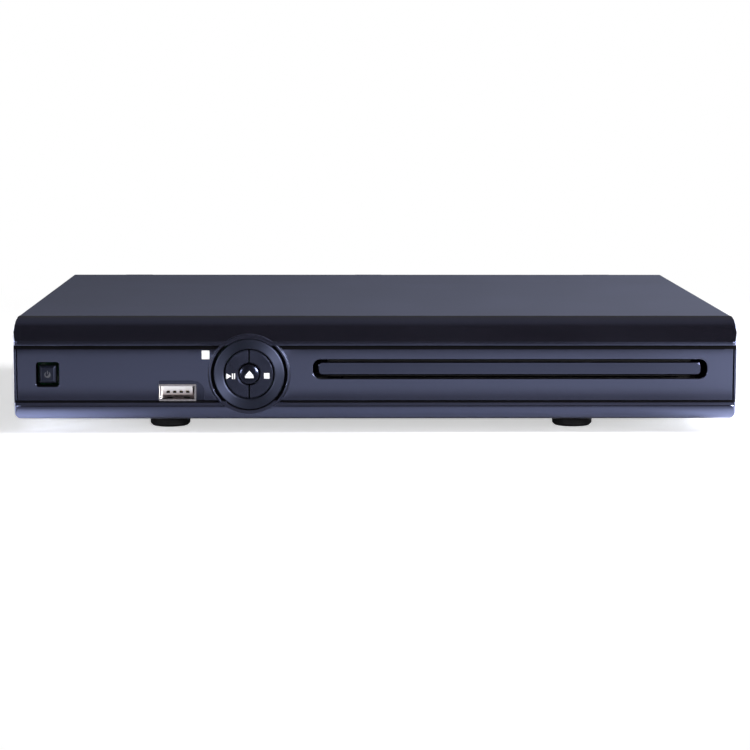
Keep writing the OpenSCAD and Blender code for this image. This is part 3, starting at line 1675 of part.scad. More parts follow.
top_cover();
base_pan();
rear_panel();
front_bezel();
control_ring();
indicator_window();
play_pause_button();
stop_button();
eject_button();
power_button();
foot_front_left();
foot_front_right();
foot_rear_left();
foot_rear_right();
cover_side_screws();
cover_rear_screws();
front_board();
tact_switches();
power_switch();
indicator_led();
remote_sensor();
port_shell();
port_tongue();
port_contacts();
disc_tray();
tray_door();
loader_frame();
loader_screws();
clamp_bridge();
bridge_screws();
clamp_puck();
clamp_magnet();
drive_gear();
motor_pulley();
drive_belt();
loading_motor();
cam_slider();
traverse_frame();
deck_plate();
deck_grommets();
deck_screws();
spindle_motor();
spindle_rotor();
turntable();
guide_rods();
pickup();
pickup_lens();
sled_motor();
lead_screw();
front_ribbon();
power_board();
transformer();
power_parts();
mains_inlet();
main_board();
main_chips();
av_socket();
phono_block();
phono_jacks();
board_screws();
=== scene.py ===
import math
import bmesh
import bpy
from mathutils import Matrix, Vector
from mathutils.bvhtree import BVHTree


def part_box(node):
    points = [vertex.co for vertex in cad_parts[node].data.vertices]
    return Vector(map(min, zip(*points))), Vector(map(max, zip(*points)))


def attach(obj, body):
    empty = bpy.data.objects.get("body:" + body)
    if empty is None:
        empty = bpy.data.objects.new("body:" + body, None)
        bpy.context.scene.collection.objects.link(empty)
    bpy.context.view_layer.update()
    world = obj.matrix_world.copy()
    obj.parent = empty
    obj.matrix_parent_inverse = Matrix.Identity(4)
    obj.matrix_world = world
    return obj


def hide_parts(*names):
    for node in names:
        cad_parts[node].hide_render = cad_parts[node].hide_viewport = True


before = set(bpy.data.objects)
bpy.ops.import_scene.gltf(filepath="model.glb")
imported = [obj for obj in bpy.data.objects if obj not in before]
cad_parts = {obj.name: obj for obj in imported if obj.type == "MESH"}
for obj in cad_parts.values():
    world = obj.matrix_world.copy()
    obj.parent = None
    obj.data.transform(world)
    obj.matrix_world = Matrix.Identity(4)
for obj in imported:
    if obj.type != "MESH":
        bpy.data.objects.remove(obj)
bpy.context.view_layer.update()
mm = 0.001
scene = bpy.context.scene
scene.view_settings.view_transform = "Standard"


# Small tools for colours, nodes and meshes

def linearColour(code):
    channels = [int(code[i:i + 2], 16) / 255 for i in (1, 3, 5)]
    return [c / 12.92 if c <= 0.04045 else ((c + 0.055) / 1.055) ** 2.4 for c in channels] + [1]


def addNode(tree, kind, settings=None, links=None):
    node = tree.nodes.new(kind)
    for key, value in (settings or {}).items():
        if isinstance(key, int) or key in node.inputs:
            node.inputs[key].default_value = value
        else:
            setattr(node, key, value)
    for key, source in (links or {}).items():
        tree.links.new(source, node.inputs[key])
    return node


def makeFinish(name, tones, cloudMm, grainMm, grainHeight, rough, shader=None, stretch=(1, 1, 1)):
    material = bpy.data.materials.new(name)
    material.use_nodes = True
    tree = material.node_tree
    tree.nodes.clear()
    place = addNode(tree, "ShaderNodeTexCoord")
    spread = addNode(tree, "ShaderNodeMapping", {"Scale": stretch}, {"Vector": place.outputs["Object"]})
    cloud = addNode(tree, "ShaderNodeTexNoise", {"Scale": 1 / (cloudMm * mm), "Detail": 3, "Roughness": 0.55},
                    {"Vector": spread.outputs["Vector"]})
    grain = addNode(tree, "ShaderNodeTexNoise", {"Scale": 1 / (grainMm * mm), "Detail": 2},
                    {"Vector": spread.outputs["Vector"]})
    share = addNode(tree, "ShaderNodeMapRange", {"From Min": 0.35, "From Max": 0.65},
                    {"Value": cloud.outputs["Fac"]})
    tone = addNode(tree, "ShaderNodeMix", {"data_type": "RGBA", 6: linearColour(tones[0]), 7: linearColour(tones[1])},
                   {0: share.outputs["Result"]})
    wear = addNode(tree, "ShaderNodeMapRange",
                   {"From Min": 0.35, "From Max": 0.65, "To Min": rough[0], "To Max": rough[1]},
                   {"Value": cloud.outputs["Fac"]})
    relief = addNode(tree, "ShaderNodeBump", {"Strength": 0.6, "Distance": grainHeight * mm},
                     {"Height": grain.outputs["Fac"]})
    body = addNode(tree, "ShaderNodeBsdfPrincipled", shader,
                   {"Base Color": tone.outputs[2], "Roughness": wear.outputs["Result"],
                    "Normal": relief.outputs["Normal"]})
    addNode(tree, "ShaderNodeOutputMaterial", None, {"Surface": body.outputs["BSDF"]})
    return material


def linkPiece(name, mesh, body, material, replaced=()):
    piece = bpy.data.objects.new(name, mesh)
    scene.collection.objects.link(piece)
    piece.data.materials.clear()
    piece.data.materials.append(material)
    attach(piece, body)
    if replaced:
        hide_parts(*replaced)
    return piece


def shadeByArea(piece, sharpDegrees=50):
    mesh = piece.data
    limit = math.cos(math.radians(sharpDegrees))
    facings = [face.normal.copy() for face in mesh.polygons]
    weights = [face.area ** 2 for face in mesh.polygons]
    around = [[] for _ in mesh.vertices]
    for face in mesh.polygons:
        face.use_smooth = True
        for corner in face.vertices:
            around[corner].append(face.index)
    normals = []
    for face in mesh.polygons:
        own = facings[face.index]
        for corner in face.vertices:
            total = own * weights[face.index]
            for other in around[corner]:
                if other != face.index and facings[other].dot(own) > limit:
                    total = total + facings[other] * weights[other]
            normals.append(total.normalized() if total.length > 0 else own)
    mesh.normals_split_custom_set(normals)
    return piece


def steadyEdges(shape, limit, widthMm):
    chosen = []
    shortest = softening["shortest"] * widthMm * mm
    for edge in shape.edges:
        if len(edge.link_faces) != 2 or edge.calc_face_angle(0) < limit or edge.calc_length() < shortest:
            continue
        steady = True
        for end in edge.verts:
            along = (edge.other_vert(end).co - end.co).normalized()
            for other in end.link_edges:
                if other is edge or not any(face in edge.link_faces for face in other.link_faces):
                    continue
                if (other.other_vert(end).co - end.co).angle(along, 0) < math.radians(softening["alongDegrees"]):
                    steady = False
        if steady:
            chosen.append(edge)
    return chosen


softening = {
    "segments": 2, "edgeDegrees": 38,
    "weld": 2e-6, "flatDegrees": 0.6,
    "cellMm": 5, "cutShift": 0.000037,       # cuts keep the big faces small, and the shift keeps them off the corners
    "strayed": 1.5,                          # times the bevel's width: further off, the bevel has gone wrong
    "shortest": 1.2,                         # times the bevel's width: shorter edges stay sharp
    "alongDegrees": 24,                      # an edge that runs on at less than this leaves no room for a bevel
}


def softenedCopy(name, node, body, material, bevelMm):
    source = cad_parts[node]
    shape = bmesh.new()
    shape.from_mesh(source.data)
    bmesh.ops.remove_doubles(shape, verts=shape.verts, dist=softening["weld"])
    bmesh.ops.dissolve_limit(shape, angle_limit=math.radians(softening["flatDegrees"]), verts=shape.verts,
                             edges=shape.edges)
    low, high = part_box(node)
    for axis in range(3):
        normal = Vector([1 if i == axis else 0 for i in range(3)])
        cuts = int((high[axis] - low[axis]) / (softening["cellMm"] * mm))
        for i in range(1, cuts + 1):
            at = low + normal * ((high[axis] - low[axis]) * i / (cuts + 1) + softening["cutShift"])
            bmesh.ops.bisect_plane(shape, geom=shape.verts[:] + shape.edges[:] + shape.faces[:], dist=1e-7,
                                   plane_co=at, plane_no=normal)
    plain = shape.copy()
    surface = BVHTree.FromBMesh(plain)
    edges = steadyEdges(shape, math.radians(softening["edgeDegrees"]), bevelMm)
    bmesh.ops.bevel(shape, geom=edges, offset=bevelMm * mm, offset_type="OFFSET", segments=softening["segments"],
                    profile=0.5, affect="EDGES", clamp_overlap=False, material=-1)
    strayed = [v for v in shape.verts if surface.find_nearest(v.co)[3] > softening["strayed"] * bevelMm * mm]
    if strayed:
        print("bevel left out on", name, len(strayed), [round(c / mm, 1) for c in strayed[0].co])
        shape.free()
        shape = plain
    mesh = bpy.data.meshes.new(name)
    shape.to_mesh(mesh)
    shape.free()
    return shadeByArea(linkPiece(name, mesh, body, material, (node,)))


def paintNode(node, material):
    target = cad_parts[node]
    target.data.materials.clear()
    target.data.materials.append(material)


def surfaceOf(node):
    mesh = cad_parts[node].data
    return BVHTree.FromPolygons([v.co for v in mesh.vertices], [p.vertices[:] for p in mesh.polygons])


# Camera at the photograph's place, then the studio

cameraFit = {"place": (-0.016363, -0.978954, 0.129689), "lens": 113.546, "yaw": 1.0456, "pitch": 7.017, "roll": 0.103}
lens = bpy.data.cameras.new("camera")
lens.lens = cameraFit["lens"]
lens.sensor_width = 36
lens.clip_start = 0.01
camera = bpy.data.objects.new("camera", lens)
scene.collection.objects.link(camera)
camera.matrix_world = (Matrix.Translation(cameraFit["place"])
                       @ Matrix.Rotation(math.radians(-cameraFit["yaw"]), 4, "Z")
                       @ Matrix.Rotation(math.radians(90 - cameraFit["pitch"]), 4, "X")
                       @ Matrix.Rotation(math.radians(cameraFit["roll"]), 4, "Z"))
scene.camera = camera

studio = {
    "surroundings": 0.14,        # what the walls give the object
    "mirrorDim": 0.07,           # what its gloss sees of the walls in front and behind
    "mirrorSides": 1.0,          # more of that towards the left and right
    "sidesFrom": 0.55, "sidesTo": 0.98,
    "mirrorZenith": 0.16,        # and overhead
    "zenithFrom": 0.35,
    "floorSize": 8,
    "floorTone": "#e9e9eb",
    "floorLift": 0.56,           # light of its own, so that the camera sees it nearly white
    "fadeFrom": 0.2,             # metres from the middle where the floor turns plain white for the camera
    "fadeTo": 0.55,
    "lamps": [
        # name, place, aim, width, height, watts, seen in the gloss, seen by matte surfaces
        ("overhead", (0.10, 0.10, 1.35), (0, 0, 0), 1.4, 1.2, 0.4, False, True),
        ("rightWindow", (0.55, -0.10, 0.42), (0.02, -0.06, 0.02), 0.5, 0.4, 8.2, True, True),
        ("leftReflector", (-1.1, -0.7, 0.5), (0, 0, 0.02), 0.7, 0.7, 0.8, True, True),
        ("frontFill", (0.2, -1.25, 0.33), (0, -0.1, 0.02), 1.0, 0.4, 6.3, False, True),
        ("ringGlint", (0.75, -0.95, 0.35), (-0.047, -0.10, 0.022), 0.5, 0.35, 72, True, False),
        ("leftGlint", (-1.0, -1.0, 0.22), (-0.047, -0.10, 0.022), 0.5, 0.35, 18, True, False),
    ],
    "mirroredFloor": {           # painted light and shade on the floor, seen only in the front's gloss: how bright it sees the floor, in metres from the middle
        "overall": 0.92,
        "dip": (-0.122, -0.152, -0.202, -0.240), "dipDepth": 0.62,
        "far": (-0.356, -0.398), "farDepth": 0.78,
        "near": (-0.130, -0.100), "nearGain": 0.22,
        "leftEnd": (-0.070, -0.140), "leftGain": 6.2,
        "rightEnd": (0.094, 0.150), "rightEndGain": 2.6,
        "right": (0.120, 0.180), "rightGain": 0.28,
    },
}

world = bpy.data.worlds.new("studioAir")
scene.world = world
world.use_nodes = True
air = world.node_tree
air.nodes.clear()
ray = addNode(air, "ShaderNodeLightPath")
heading = addNode(air, "ShaderNodeTexCoord")
headingParts = addNode(air, "ShaderNodeSeparateXYZ", None, {0: heading.outputs["Generated"]})
sideways = addNode(air, "ShaderNodeMath", {"operation": "ABSOLUTE"}, {0: headingParts.outputs["X"]})
sideLevel = addNode(air, "ShaderNodeMapRange",
                    {"From Min": studio["sidesFrom"], "From Max": studio["sidesTo"], "To Max": studio["mirrorSides"]},
                    {"Value": sideways.outputs[0]})
zenithLevel = addNode(air, "ShaderNodeMapRange",
                      {"From Min": studio["zenithFrom"], "From Max": 1.0, "To Max": studio["mirrorZenith"]},
                      {"Value": headingParts.outputs["Z"]})
mirrorSum = addNode(air, "ShaderNodeMath", {"operation": "ADD"},
                    {0: sideLevel.outputs["Result"], 1: zenithLevel.outputs["Result"]})
mirrorLevel = addNode(air, "ShaderNodeMath", {"operation": "ADD", 1: studio["mirrorDim"]}, {0: mirrorSum.outputs[0]})
mirrored = addNode(air, "ShaderNodeMix", {"data_type": "FLOAT", 2: studio["surroundings"]},
                   {0: ray.outputs["Is Glossy Ray"], 3: mirrorLevel.outputs[0]})
seenPlain = addNode(air, "ShaderNodeMath", {"operation": "MAXIMUM"},
                    {0: ray.outputs["Is Camera Ray"], 1: ray.outputs["Is Transmission Ray"]})
airLevel = addNode(air, "ShaderNodeMix", {"data_type": "FLOAT", 3: 1.0},
                   {0: seenPlain.outputs[0], 2: mirrored.outputs[0]})
airLight = addNode(air, "ShaderNodeBackground", {"Color": (1, 1, 1, 1)}, {"Strength": airLevel.outputs[0]})
addNode(air, "ShaderNodeOutputWorld", None, {"Surface": airLight.outputs["Background"]})

for lampName, place, aim, width, height, watts, inGloss, inMatte in studio["lamps"]:
    lamp = bpy.data.lights.new(lampName, "AREA")
    lamp.shape = "RECTANGLE"
    lamp.size = width
    lamp.size_y = height
    lamp.energy = watts
    holder = bpy.data.objects.new(lampName, lamp)
    scene.collection.objects.link(holder)
    holder.location = place
    holder.rotation_euler = (Vector(place) - Vector(aim)).to_track_quat("Z", "Y").to_euler()
    holder.visible_glossy = inGloss
    holder.visible_diffuse = inMatte

floorShape = bmesh.new()
bmesh.ops.create_grid(floorShape, x_segments=1, y_segments=1, size=studio["floorSize"])
floorMesh = bpy.data.meshes.new("floor")
floorShape.to_mesh(floorMesh)
floorShape.free()
floor = bpy.data.objects.new("floor", floorMesh)
scene.collection.objects.link(floor)
paper = bpy.data.materials.new("palePaper")
paper.use_nodes = True
sheet = paper.node_tree
sheet.nodes.clear()
floorRay = addNode(sheet, "ShaderNodeLightPath")
matte = addNode(sheet, "ShaderNodeBsdfDiffuse", {"Color": linearColour(studio["floorTone"])})
lift = addNode(sheet, "ShaderNodeEmission", {"Color": (1, 1, 1, 1), "Strength": studio["floorLift"]})
lifted = addNode(sheet, "ShaderNodeAddShader", None, {0: matte.outputs[0], 1: lift.outputs[0]})
floorPlace = addNode(sheet, "ShaderNodeTexCoord")
floorReach = addNode(sheet, "ShaderNodeVectorMath", {"operation": "LENGTH"}, {0: floorPlace.outputs["Object"]})
floorFade = addNode(sheet, "ShaderNodeMapRange",
                    {"interpolation_type": "SMOOTHSTEP", "From Min": studio["fadeFrom"], "From Max": studio["fadeTo"]},
                    {"Value": floorReach.outputs["Value"]})
white = addNode(sheet, "ShaderNodeEmission", {"Color": (1, 1, 1, 1), "Strength": 1})
faded = addNode(sheet, "ShaderNodeMixShader", None,
                {0: floorFade.outputs["Result"], 1: lifted.outputs[0], 2: white.outputs[0]})
floorParts = addNode(sheet, "ShaderNodeSeparateXYZ", None, {0: floorPlace.outputs["Object"]})


def floorStep(source, start, end, low, high):
    return addNode(sheet, "ShaderNodeMapRange", {"interpolation_type": "SMOOTHSTEP", "From Min": start, "From Max": end,
                                                 "To Min": low, "To Max": high}, {"Value": source}).outputs["Result"]


def floorMath(operation, first, second):
    return addNode(sheet, "ShaderNodeMath", {"operation": operation}, {0: first, 1: second}).outputs[0]


# painted bands of light and shade on the floor, which only reflections show
seen = studio["mirroredFloor"]
across, back = floorParts.outputs["X"], floorParts.outputs["Y"]
dip = floorMath("MULTIPLY", floorStep(back, seen["dip"][1], seen["dip"][0], seen["dipDepth"], 0),
                floorStep(back, seen["dip"][3], seen["dip"][2], 0, 1))
level = floorMath("SUBTRACT", floorStep(back, seen["far"][1], seen["far"][0], 1 - seen["farDepth"], 1), dip)
nearGain = floorMath("ADD", floorStep(across, seen["leftEnd"][1], seen["leftEnd"][0], seen["leftGain"],
                                      seen["nearGain"]),
                     floorStep(across, *seen["rightEnd"], 0, seen["rightEndGain"]))
level = floorMath("ADD", level, floorMath("MULTIPLY", nearGain, floorStep(back, *seen["near"], 0, 1)))
level = floorMath("ADD", level, floorStep(across, *seen["right"], 0, seen["rightGain"]))
level = addNode(sheet, "ShaderNodeMath", {"operation": "MULTIPLY", 1: seen["overall"]}, {0: level}).outputs[0]
mirrorTone = addNode(sheet, "ShaderNodeVectorMath", {"operation": "SCALE", 0: linearColour(studio["floorTone"])[:3]},
                     {"Scale": level})
mirrorFloor = addNode(sheet, "ShaderNodeBsdfDiffuse", None, {"Color": mirrorTone.outputs["Vector"]})
plainOrMirror = addNode(sheet, "ShaderNodeMixShader", None,
                        {0: floorRay.outputs["Is Glossy Ray"], 1: matte.outputs[0], 2: mirrorFloor.outputs[0]})
floorMix = addNode(sheet, "ShaderNodeMixShader", None,
                   {0: floorRay.outputs["Is Camera Ray"], 1: plainOrMirror.outputs[0], 2: faded.outputs[0]})
addNode(sheet, "ShaderNodeOutputMaterial", None, {"Surface": floorMix.outputs[0]})
floor.data.materials.append(paper)
print("studio ready")


# Finishes

ringMiddle = (-47.3, 22.2)       # across and up, in mm
blueGloss = (0.49, 0.56, 0.93, 1)
blackLacquer = makeFinish(      # lacquered ABS: near black with a deep blue cast, mirror-clear with a faint ripple
    "blackLacquer", ("#110e13", "#141116"), 40, 9, 0.006, (0.05, 0.08),
    {"IOR": 1.75, "Specular IOR Level": 1.0, "Specular Tint": blueGloss})
doorLacquerAndRecessShade = makeFinish(       # the same lacquer, a little duller on the tray's door; on the panel it paints shade into the finger recess round the port
    "doorLacquerAndRecessShade", ("#0c0b10", "#0f0d12"), 30, 7, 0.006, (0.07, 0.10),
    {"IOR": 1.7, "Specular IOR Level": 0.75, "Specular Tint": blueGloss})
paintedGrooveShade = makeFinish(       # painted shade inside the grooves: dull and near black, so no light comes out
    "paintedGrooveShade", ("#0a0a10", "#0c0c13"), 5, 0.4, 0.01, (0.55, 0.65), {"IOR": 1.4, "Specular IOR Level": 0.04})
coverPaint = makeFinish(        # stoved matte paint on steel: even blue grey with a very fine grain
    "coverPaint", ("#484b5a", "#4a4d5d"), 30, 0.5, 0.006, (0.655, 0.665),
    {"IOR": 1.45, "Specular IOR Level": 0.06})
zincSheet = makeFinish(         # zinc-plated sheet: pale grey, cloudy, drawn one way
    "zincSheet", ("#a3a5a8", "#b9bbbe"), 6, 0.4, 0.004, (0.28, 0.42), {"Metallic": 1.0}, (1, 5, 5))
rearPaint = makeFinish(         # matte black paint on the back sheet
    "rearPaint", ("#1b1b1f", "#232328"), 12, 0.4, 0.012, (0.5, 0.6), {"IOR": 1.45})
turnedRing = makeFinish(        # ring with a fine turned skin: dark, with two opposite fans of light
    "turnedRing", ("#08090c", "#0a0b0f"), 8, 0.3, 0.002, (0.50, 0.54),
    {"IOR": 1.75, "Specular IOR Level": 0.24, "Specular Tint": blueGloss, "Anisotropic": 0.7})
turnedTree = turnedRing.node_tree
fromCentre = addNode(turnedTree, "ShaderNodeVectorMath",
                     {"operation": "SUBTRACT", 1: (ringMiddle[0] * mm, 0, ringMiddle[1] * mm)},
                     {0: turnedTree.nodes["Texture Coordinate"].outputs["Object"]})
roundAxis = addNode(turnedTree, "ShaderNodeVectorMath", {"operation": "NORMALIZE"},
                    {0: fromCentre.outputs["Vector"]})
turnedTree.links.new(roundAxis.outputs["Vector"], turnedTree.nodes["Principled BSDF"].inputs["Tangent"])
satinKey = makeFinish(          # half keys: fine spark-eroded texture, darker than the ring
    "satinKey", ("#1b1c26", "#1f202b"), 5, 0.25, 0.005, (0.34, 0.40),
    {"IOR": 1.5, "Specular IOR Level": 0.28, "Specular Tint": blueGloss})
powerSatin = makeFinish(        # power key: smoother and darker than the half keys
    "powerSatin", ("#0a0b10", "#0d0e13"), 5, 0.3, 0.003, (0.31, 0.37),
    {"IOR": 1.5, "Specular IOR Level": 0.4, "Specular Tint": blueGloss})
glossKey = makeFinish(          # domed key: polished ABS
    "glossKey", ("#101017", "#14141c"), 8, 3, 0.002, (0.17, 0.21),
    {"IOR": 1.6, "Specular IOR Level": 0.28, "Specular Tint": blueGloss})
milkDiffuserGlow = makeFinish(      # opal acrylic: white, with a faint painted glow
    "milkDiffuserGlow", ("#f6f8fa", "#fdfefe"), 3, 0.8, 0.002, (0.18, 0.24),
    {"IOR": 1.49, "Subsurface Weight": 0.2, "Subsurface Radius": (0.002, 0.002, 0.002),
     "Emission Color": (1, 1, 1, 1), "Emission Strength": 0.22})
mouldedRubber = makeFinish(     # moulded rubber feet: dull, almost black, a little dusty
    "mouldedRubber", ("#141416", "#1a1a1d"), 3, 0.5, 0.02, (0.62, 0.75), {"IOR": 1.5, "Specular IOR Level": 0.15})
blackOxide = makeFinish(        # black oxide screws: dark steel with a thin oil sheen
    "blackOxide", ("#1c1c1f", "#2a2a2e"), 1, 0.3, 0.004, (0.32, 0.45), {"Metallic": 0.8})
zincScrew = makeFinish(         # bright zinc screws
    "zincScrew", ("#9fa1a4", "#bfc0c3"), 0.8, 0.3, 0.003, (0.24, 0.36), {"Metallic": 1.0})
nickelPlate = makeFinish(       # nickel plate on the port shells: warm bright mirror with light scuffs
    "nickelPlate", ("#a6a2a8", "#bebabf"), 2, 0.5, 0.002, (0.16, 0.26), {"Metallic": 1.0}, (4, 1, 1))
paintedEdgeHighlight = makeFinish(         # the wall of the end groove that catches the light: the same lacquer, paler as a painted highlight
    "paintedEdgeHighlight", ("#565e7c", "#626a88"), 6, 1, 0.002, (0.30, 0.36), {"IOR": 1.6})
whiteNylon = makeFinish(        # white nylon and acetal: creamy, waxy
    "whiteNylon", ("#ece7dd", "#f6f3ec"), 4, 0.5, 0.004, (0.38, 0.5), {"IOR": 1.53, "Subsurface Weight": 0.08,
     "Subsurface Radius": (0.001, 0.001, 0.001)})
darkNylon = makeFinish(         # black glass-filled plastic
    "darkNylon", ("#17171a", "#212124"), 3, 0.4, 0.008, (0.42, 0.55), {"IOR": 1.5})
trayPlastic = makeFinish(       # tray: black polystyrene with a fine texture
    "trayPlastic", ("#09090b", "#0c0c0f"), 9, 0.35, 0.012, (0.48, 0.58), {"IOR": 1.5, "Specular IOR Level": 0.15})
loaderPlastic = makeFinish(     # loader chassis: black ABS with flow marks
    "loaderPlastic", ("#0f0f11", "#141417"), 14, 0.5, 0.01, (0.46, 0.58), {"IOR": 1.5, "Specular IOR Level": 0.2})
collarLacquer = makeFinish(     # the collar's rim: the lacquer breathed over, so its lights are soft
    "collarLacquer", ("#15141b", "#18171f"), 20, 0.4, 0.004, (0.36, 0.42),
    {"IOR": 1.75, "Specular IOR Level": 0.2, "Specular Tint": blueGloss})
satinNickelHighlight = makeFinish(       # the flared mouth of the port: brushed bright, a paler copy of the nickel plate as a painted highlight where it catches the light
    "satinNickelHighlight", ("#cfcbc8", "#dedad7"), 1.5, 0.4, 0.002, (0.48, 0.55), {"Metallic": 1.0})
goldFlash = makeFinish(         # gold-flashed brass
    "goldFlash", ("#c79f45", "#e0bb62"), 1, 0.3, 0.002, (0.2, 0.32), {"Metallic": 1.0})
ferritePlate = makeFinish(      # nickel-plated magnet
    "ferritePlate", ("#6d6e72", "#86878b"), 2, 0.3, 0.003, (0.25, 0.35), {"Metallic": 1.0})
motorSteel = makeFinish(        # deep-drawn motor cans: bright steel with drawing lines
    "motorSteel", ("#a4a6aa", "#c0c2c5"), 1.5, 0.35, 0.003, (0.22, 0.34), {"Metallic": 1.0}, (1, 6, 1))
groundRod = makeFinish(         # ground stainless rod
    "groundRod", ("#c4c6c8", "#d9dadc"), 2, 0.2, 0.001, (0.1, 0.16), {"Metallic": 1.0}, (1, 0.2, 1))
castAlloy = makeFinish(         # die-cast carrier: grey with a mottled skin
    "castAlloy", ("#77797e", "#919398"), 2.5, 0.6, 0.01, (0.36, 0.5), {"Metallic": 1.0})
tongueNylon = makeFinish(       # the port's tongue: white on top, greyed towards its lower edge by painted shade
    "tongueNylon", ("#f4f2f4", "#faf8fa"), 4, 0.5, 0.003, (0.35, 0.45), {"IOR": 1.53})
tongueTree = tongueNylon.node_tree
tongueHeight = addNode(tongueTree, "ShaderNodeSeparateXYZ", None,
                       {0: tongueTree.nodes["Texture Coordinate"].outputs["Object"]})
# painted shade on the tongue: from the tone at its lower edge up to white
tonguePaintedShade = {"low": 14.1, "high": 17.3, "tone": "#8a7c7c"}
tongueShadeShare = addNode(tongueTree, "ShaderNodeMapRange",
                      {"interpolation_type": "SMOOTHSTEP", "From Min": tonguePaintedShade["low"] * mm,
                       "From Max": tonguePaintedShade["high"] * mm},
                      {"Value": tongueHeight.outputs["Z"]})
tongueShadedTone = addNode(tongueTree, "ShaderNodeMix", {"data_type": "RGBA", 6: linearColour(tonguePaintedShade["tone"])},
                     {0: tongueShadeShare.outputs["Result"], 7: tongueTree.nodes["Mix"].outputs[2]})
tongueTree.links.new(tongueShadedTone.outputs[2], tongueTree.nodes["Principled BSDF"].inputs["Base Color"])
paintedHoleShade = makeFinish(          # painted shade: near-black blocks for the deep windows in the tongue
    "paintedHoleShade", ("#0d0a0b", "#120e10"), 1, 0.3, 0.002, (0.6, 0.7), {"IOR": 1.4, "Specular IOR Level": 0.1})
coatedLens = makeFinish(        # small coated lens: bluish glass
    "coatedLens", ("#9fb6ea", "#b7c9f2"), 2, 1, 0.0005, (0.02, 0.04),
    {"IOR": 1.5, "Transmission Weight": 0.7, "Coat Weight": 1.0, "Coat Roughness": 0.02})
laminate = makeFinish(          # bare phenolic board
    "laminate", ("#9a7640", "#ac8850"), 5, 0.3, 0.003, (0.4, 0.5), {"IOR": 1.5}, (4, 1, 1))
tapedCore = makeFinish(         # yellow tape over a dark core
    "tapedCore", ("#b98f22", "#cda331"), 4, 0.5, 0.004, (0.25, 0.35), {"IOR": 1.5}, (1, 1, 5))
beltRubber = makeFinish(        # polished belt rubber
    "beltRubber", ("#0c0c0d", "#141415"), 2, 0.4, 0.004, (0.5, 0.62), {"IOR": 1.5})


def makeBoard(name, mask, copper):
    material = makeFinish(name, (mask, mask), 20, 0.6, 0.004, (0.25, 0.32), {"IOR": 1.5, "Coat Weight": 0.3})
    tree = material.node_tree
    body = tree.nodes["Principled BSDF"]
    place = tree.nodes["Texture Coordinate"]
    tracks = addNode(tree, "ShaderNodeTexBrick",
                     {"Scale": 1 / (6 * mm), "Mortar Size": 0.05, "Mortar Smooth": 0.1, "Bias": 0.0,
                      "Brick Width": 1.7, "Row Height": 0.35, "Color1": linearColour(mask),
                      "Color2": linearColour(mask), "Mortar": linearColour(copper)},
                     {"Vector": place.outputs["Object"]})
    tree.links.new(tracks.outputs["Color"], body.inputs["Base Color"])
    return material


solderMask = makeBoard("solderMask", "#0f3d24", "#2b6a3f")   # green mask with paler tracks under it
print("finishes ready")


# Outer pieces, from the solids with their edges broken as the real mouldings are

outerPieces = [
    # piece, node, body, slot, finish, bevel in mm
    ("frontPanel", "front_bezel", "casing", "gloss_front", blackLacquer, 0.14),
    ("coverSheet", "top_cover", "casing", "painted_cover", coverPaint, 0.10),
    ("panelRing", "control_ring", "casing", "satin_ring", turnedRing, 0.06),
    ("playKey", "play_pause_button", "play_pause", "satin_button", satinKey, 0.12),
    ("stopKey", "stop_button", "stop", "satin_button", satinKey, 0.12),
    ("ejectKey", "eject_button", "eject", "gloss_button", glossKey, 0.10),
    ("powerKey", "power_button", "power", "gloss_button", powerSatin, 0.14),
    ("statusWindow", "indicator_window", "casing", "white_window", milkDiffuserGlow, 0.08),
    ("portShell", "port_shell", "casing", "nickel_shell", nickelPlate, 0.05),
    ("portTongue", "port_tongue", "casing", "white_plastic", tongueNylon, 0.06),
    ("trayFront", "tray_door", "tray", "gloss_front", doorLacquerAndRecessShade, 0.16),
    ("trayBody", "disc_tray", "tray", "tray_plastic", trayPlastic, 0.15),
    ("footFrontLeft", "foot_front_left", "casing", "black_rubber", mouldedRubber, 0.15),
    ("footFrontRight", "foot_front_right", "casing", "black_rubber", mouldedRubber, 0.15),
    ("footRearLeft", "foot_rear_left", "casing", "black_rubber", mouldedRubber, 0.15),
    ("footRearRight", "foot_rear_right", "casing", "black_rubber", mouldedRubber, 0.15),
    ("backSheet", "rear_panel", "casing", "rear_paint", rearPaint, 0.10),
    ("baseSheet", "base_pan", "casing", "zinc_sheet", zincSheet, 0.10),
    ("inletHousing", "mains_inlet", "casing", "dark_plastic", darkNylon, 0.15),
    ("socketShell", "av_socket", "casing", "nickel_shell", nickelPlate, 0.05),
    ("sideScrews", "cover_side_screws", "casing", "black_screw", blackOxide, 0.08),
    ("rearScrews", "cover_rear_screws", "casing", "black_screw", blackOxide, 0.08),
]
pieces = {}
for name, node, body, slotName, finish, bevelMm in outerPieces:
    pieces[name] = softenedCopy(name, node, body, finish, bevelMm)

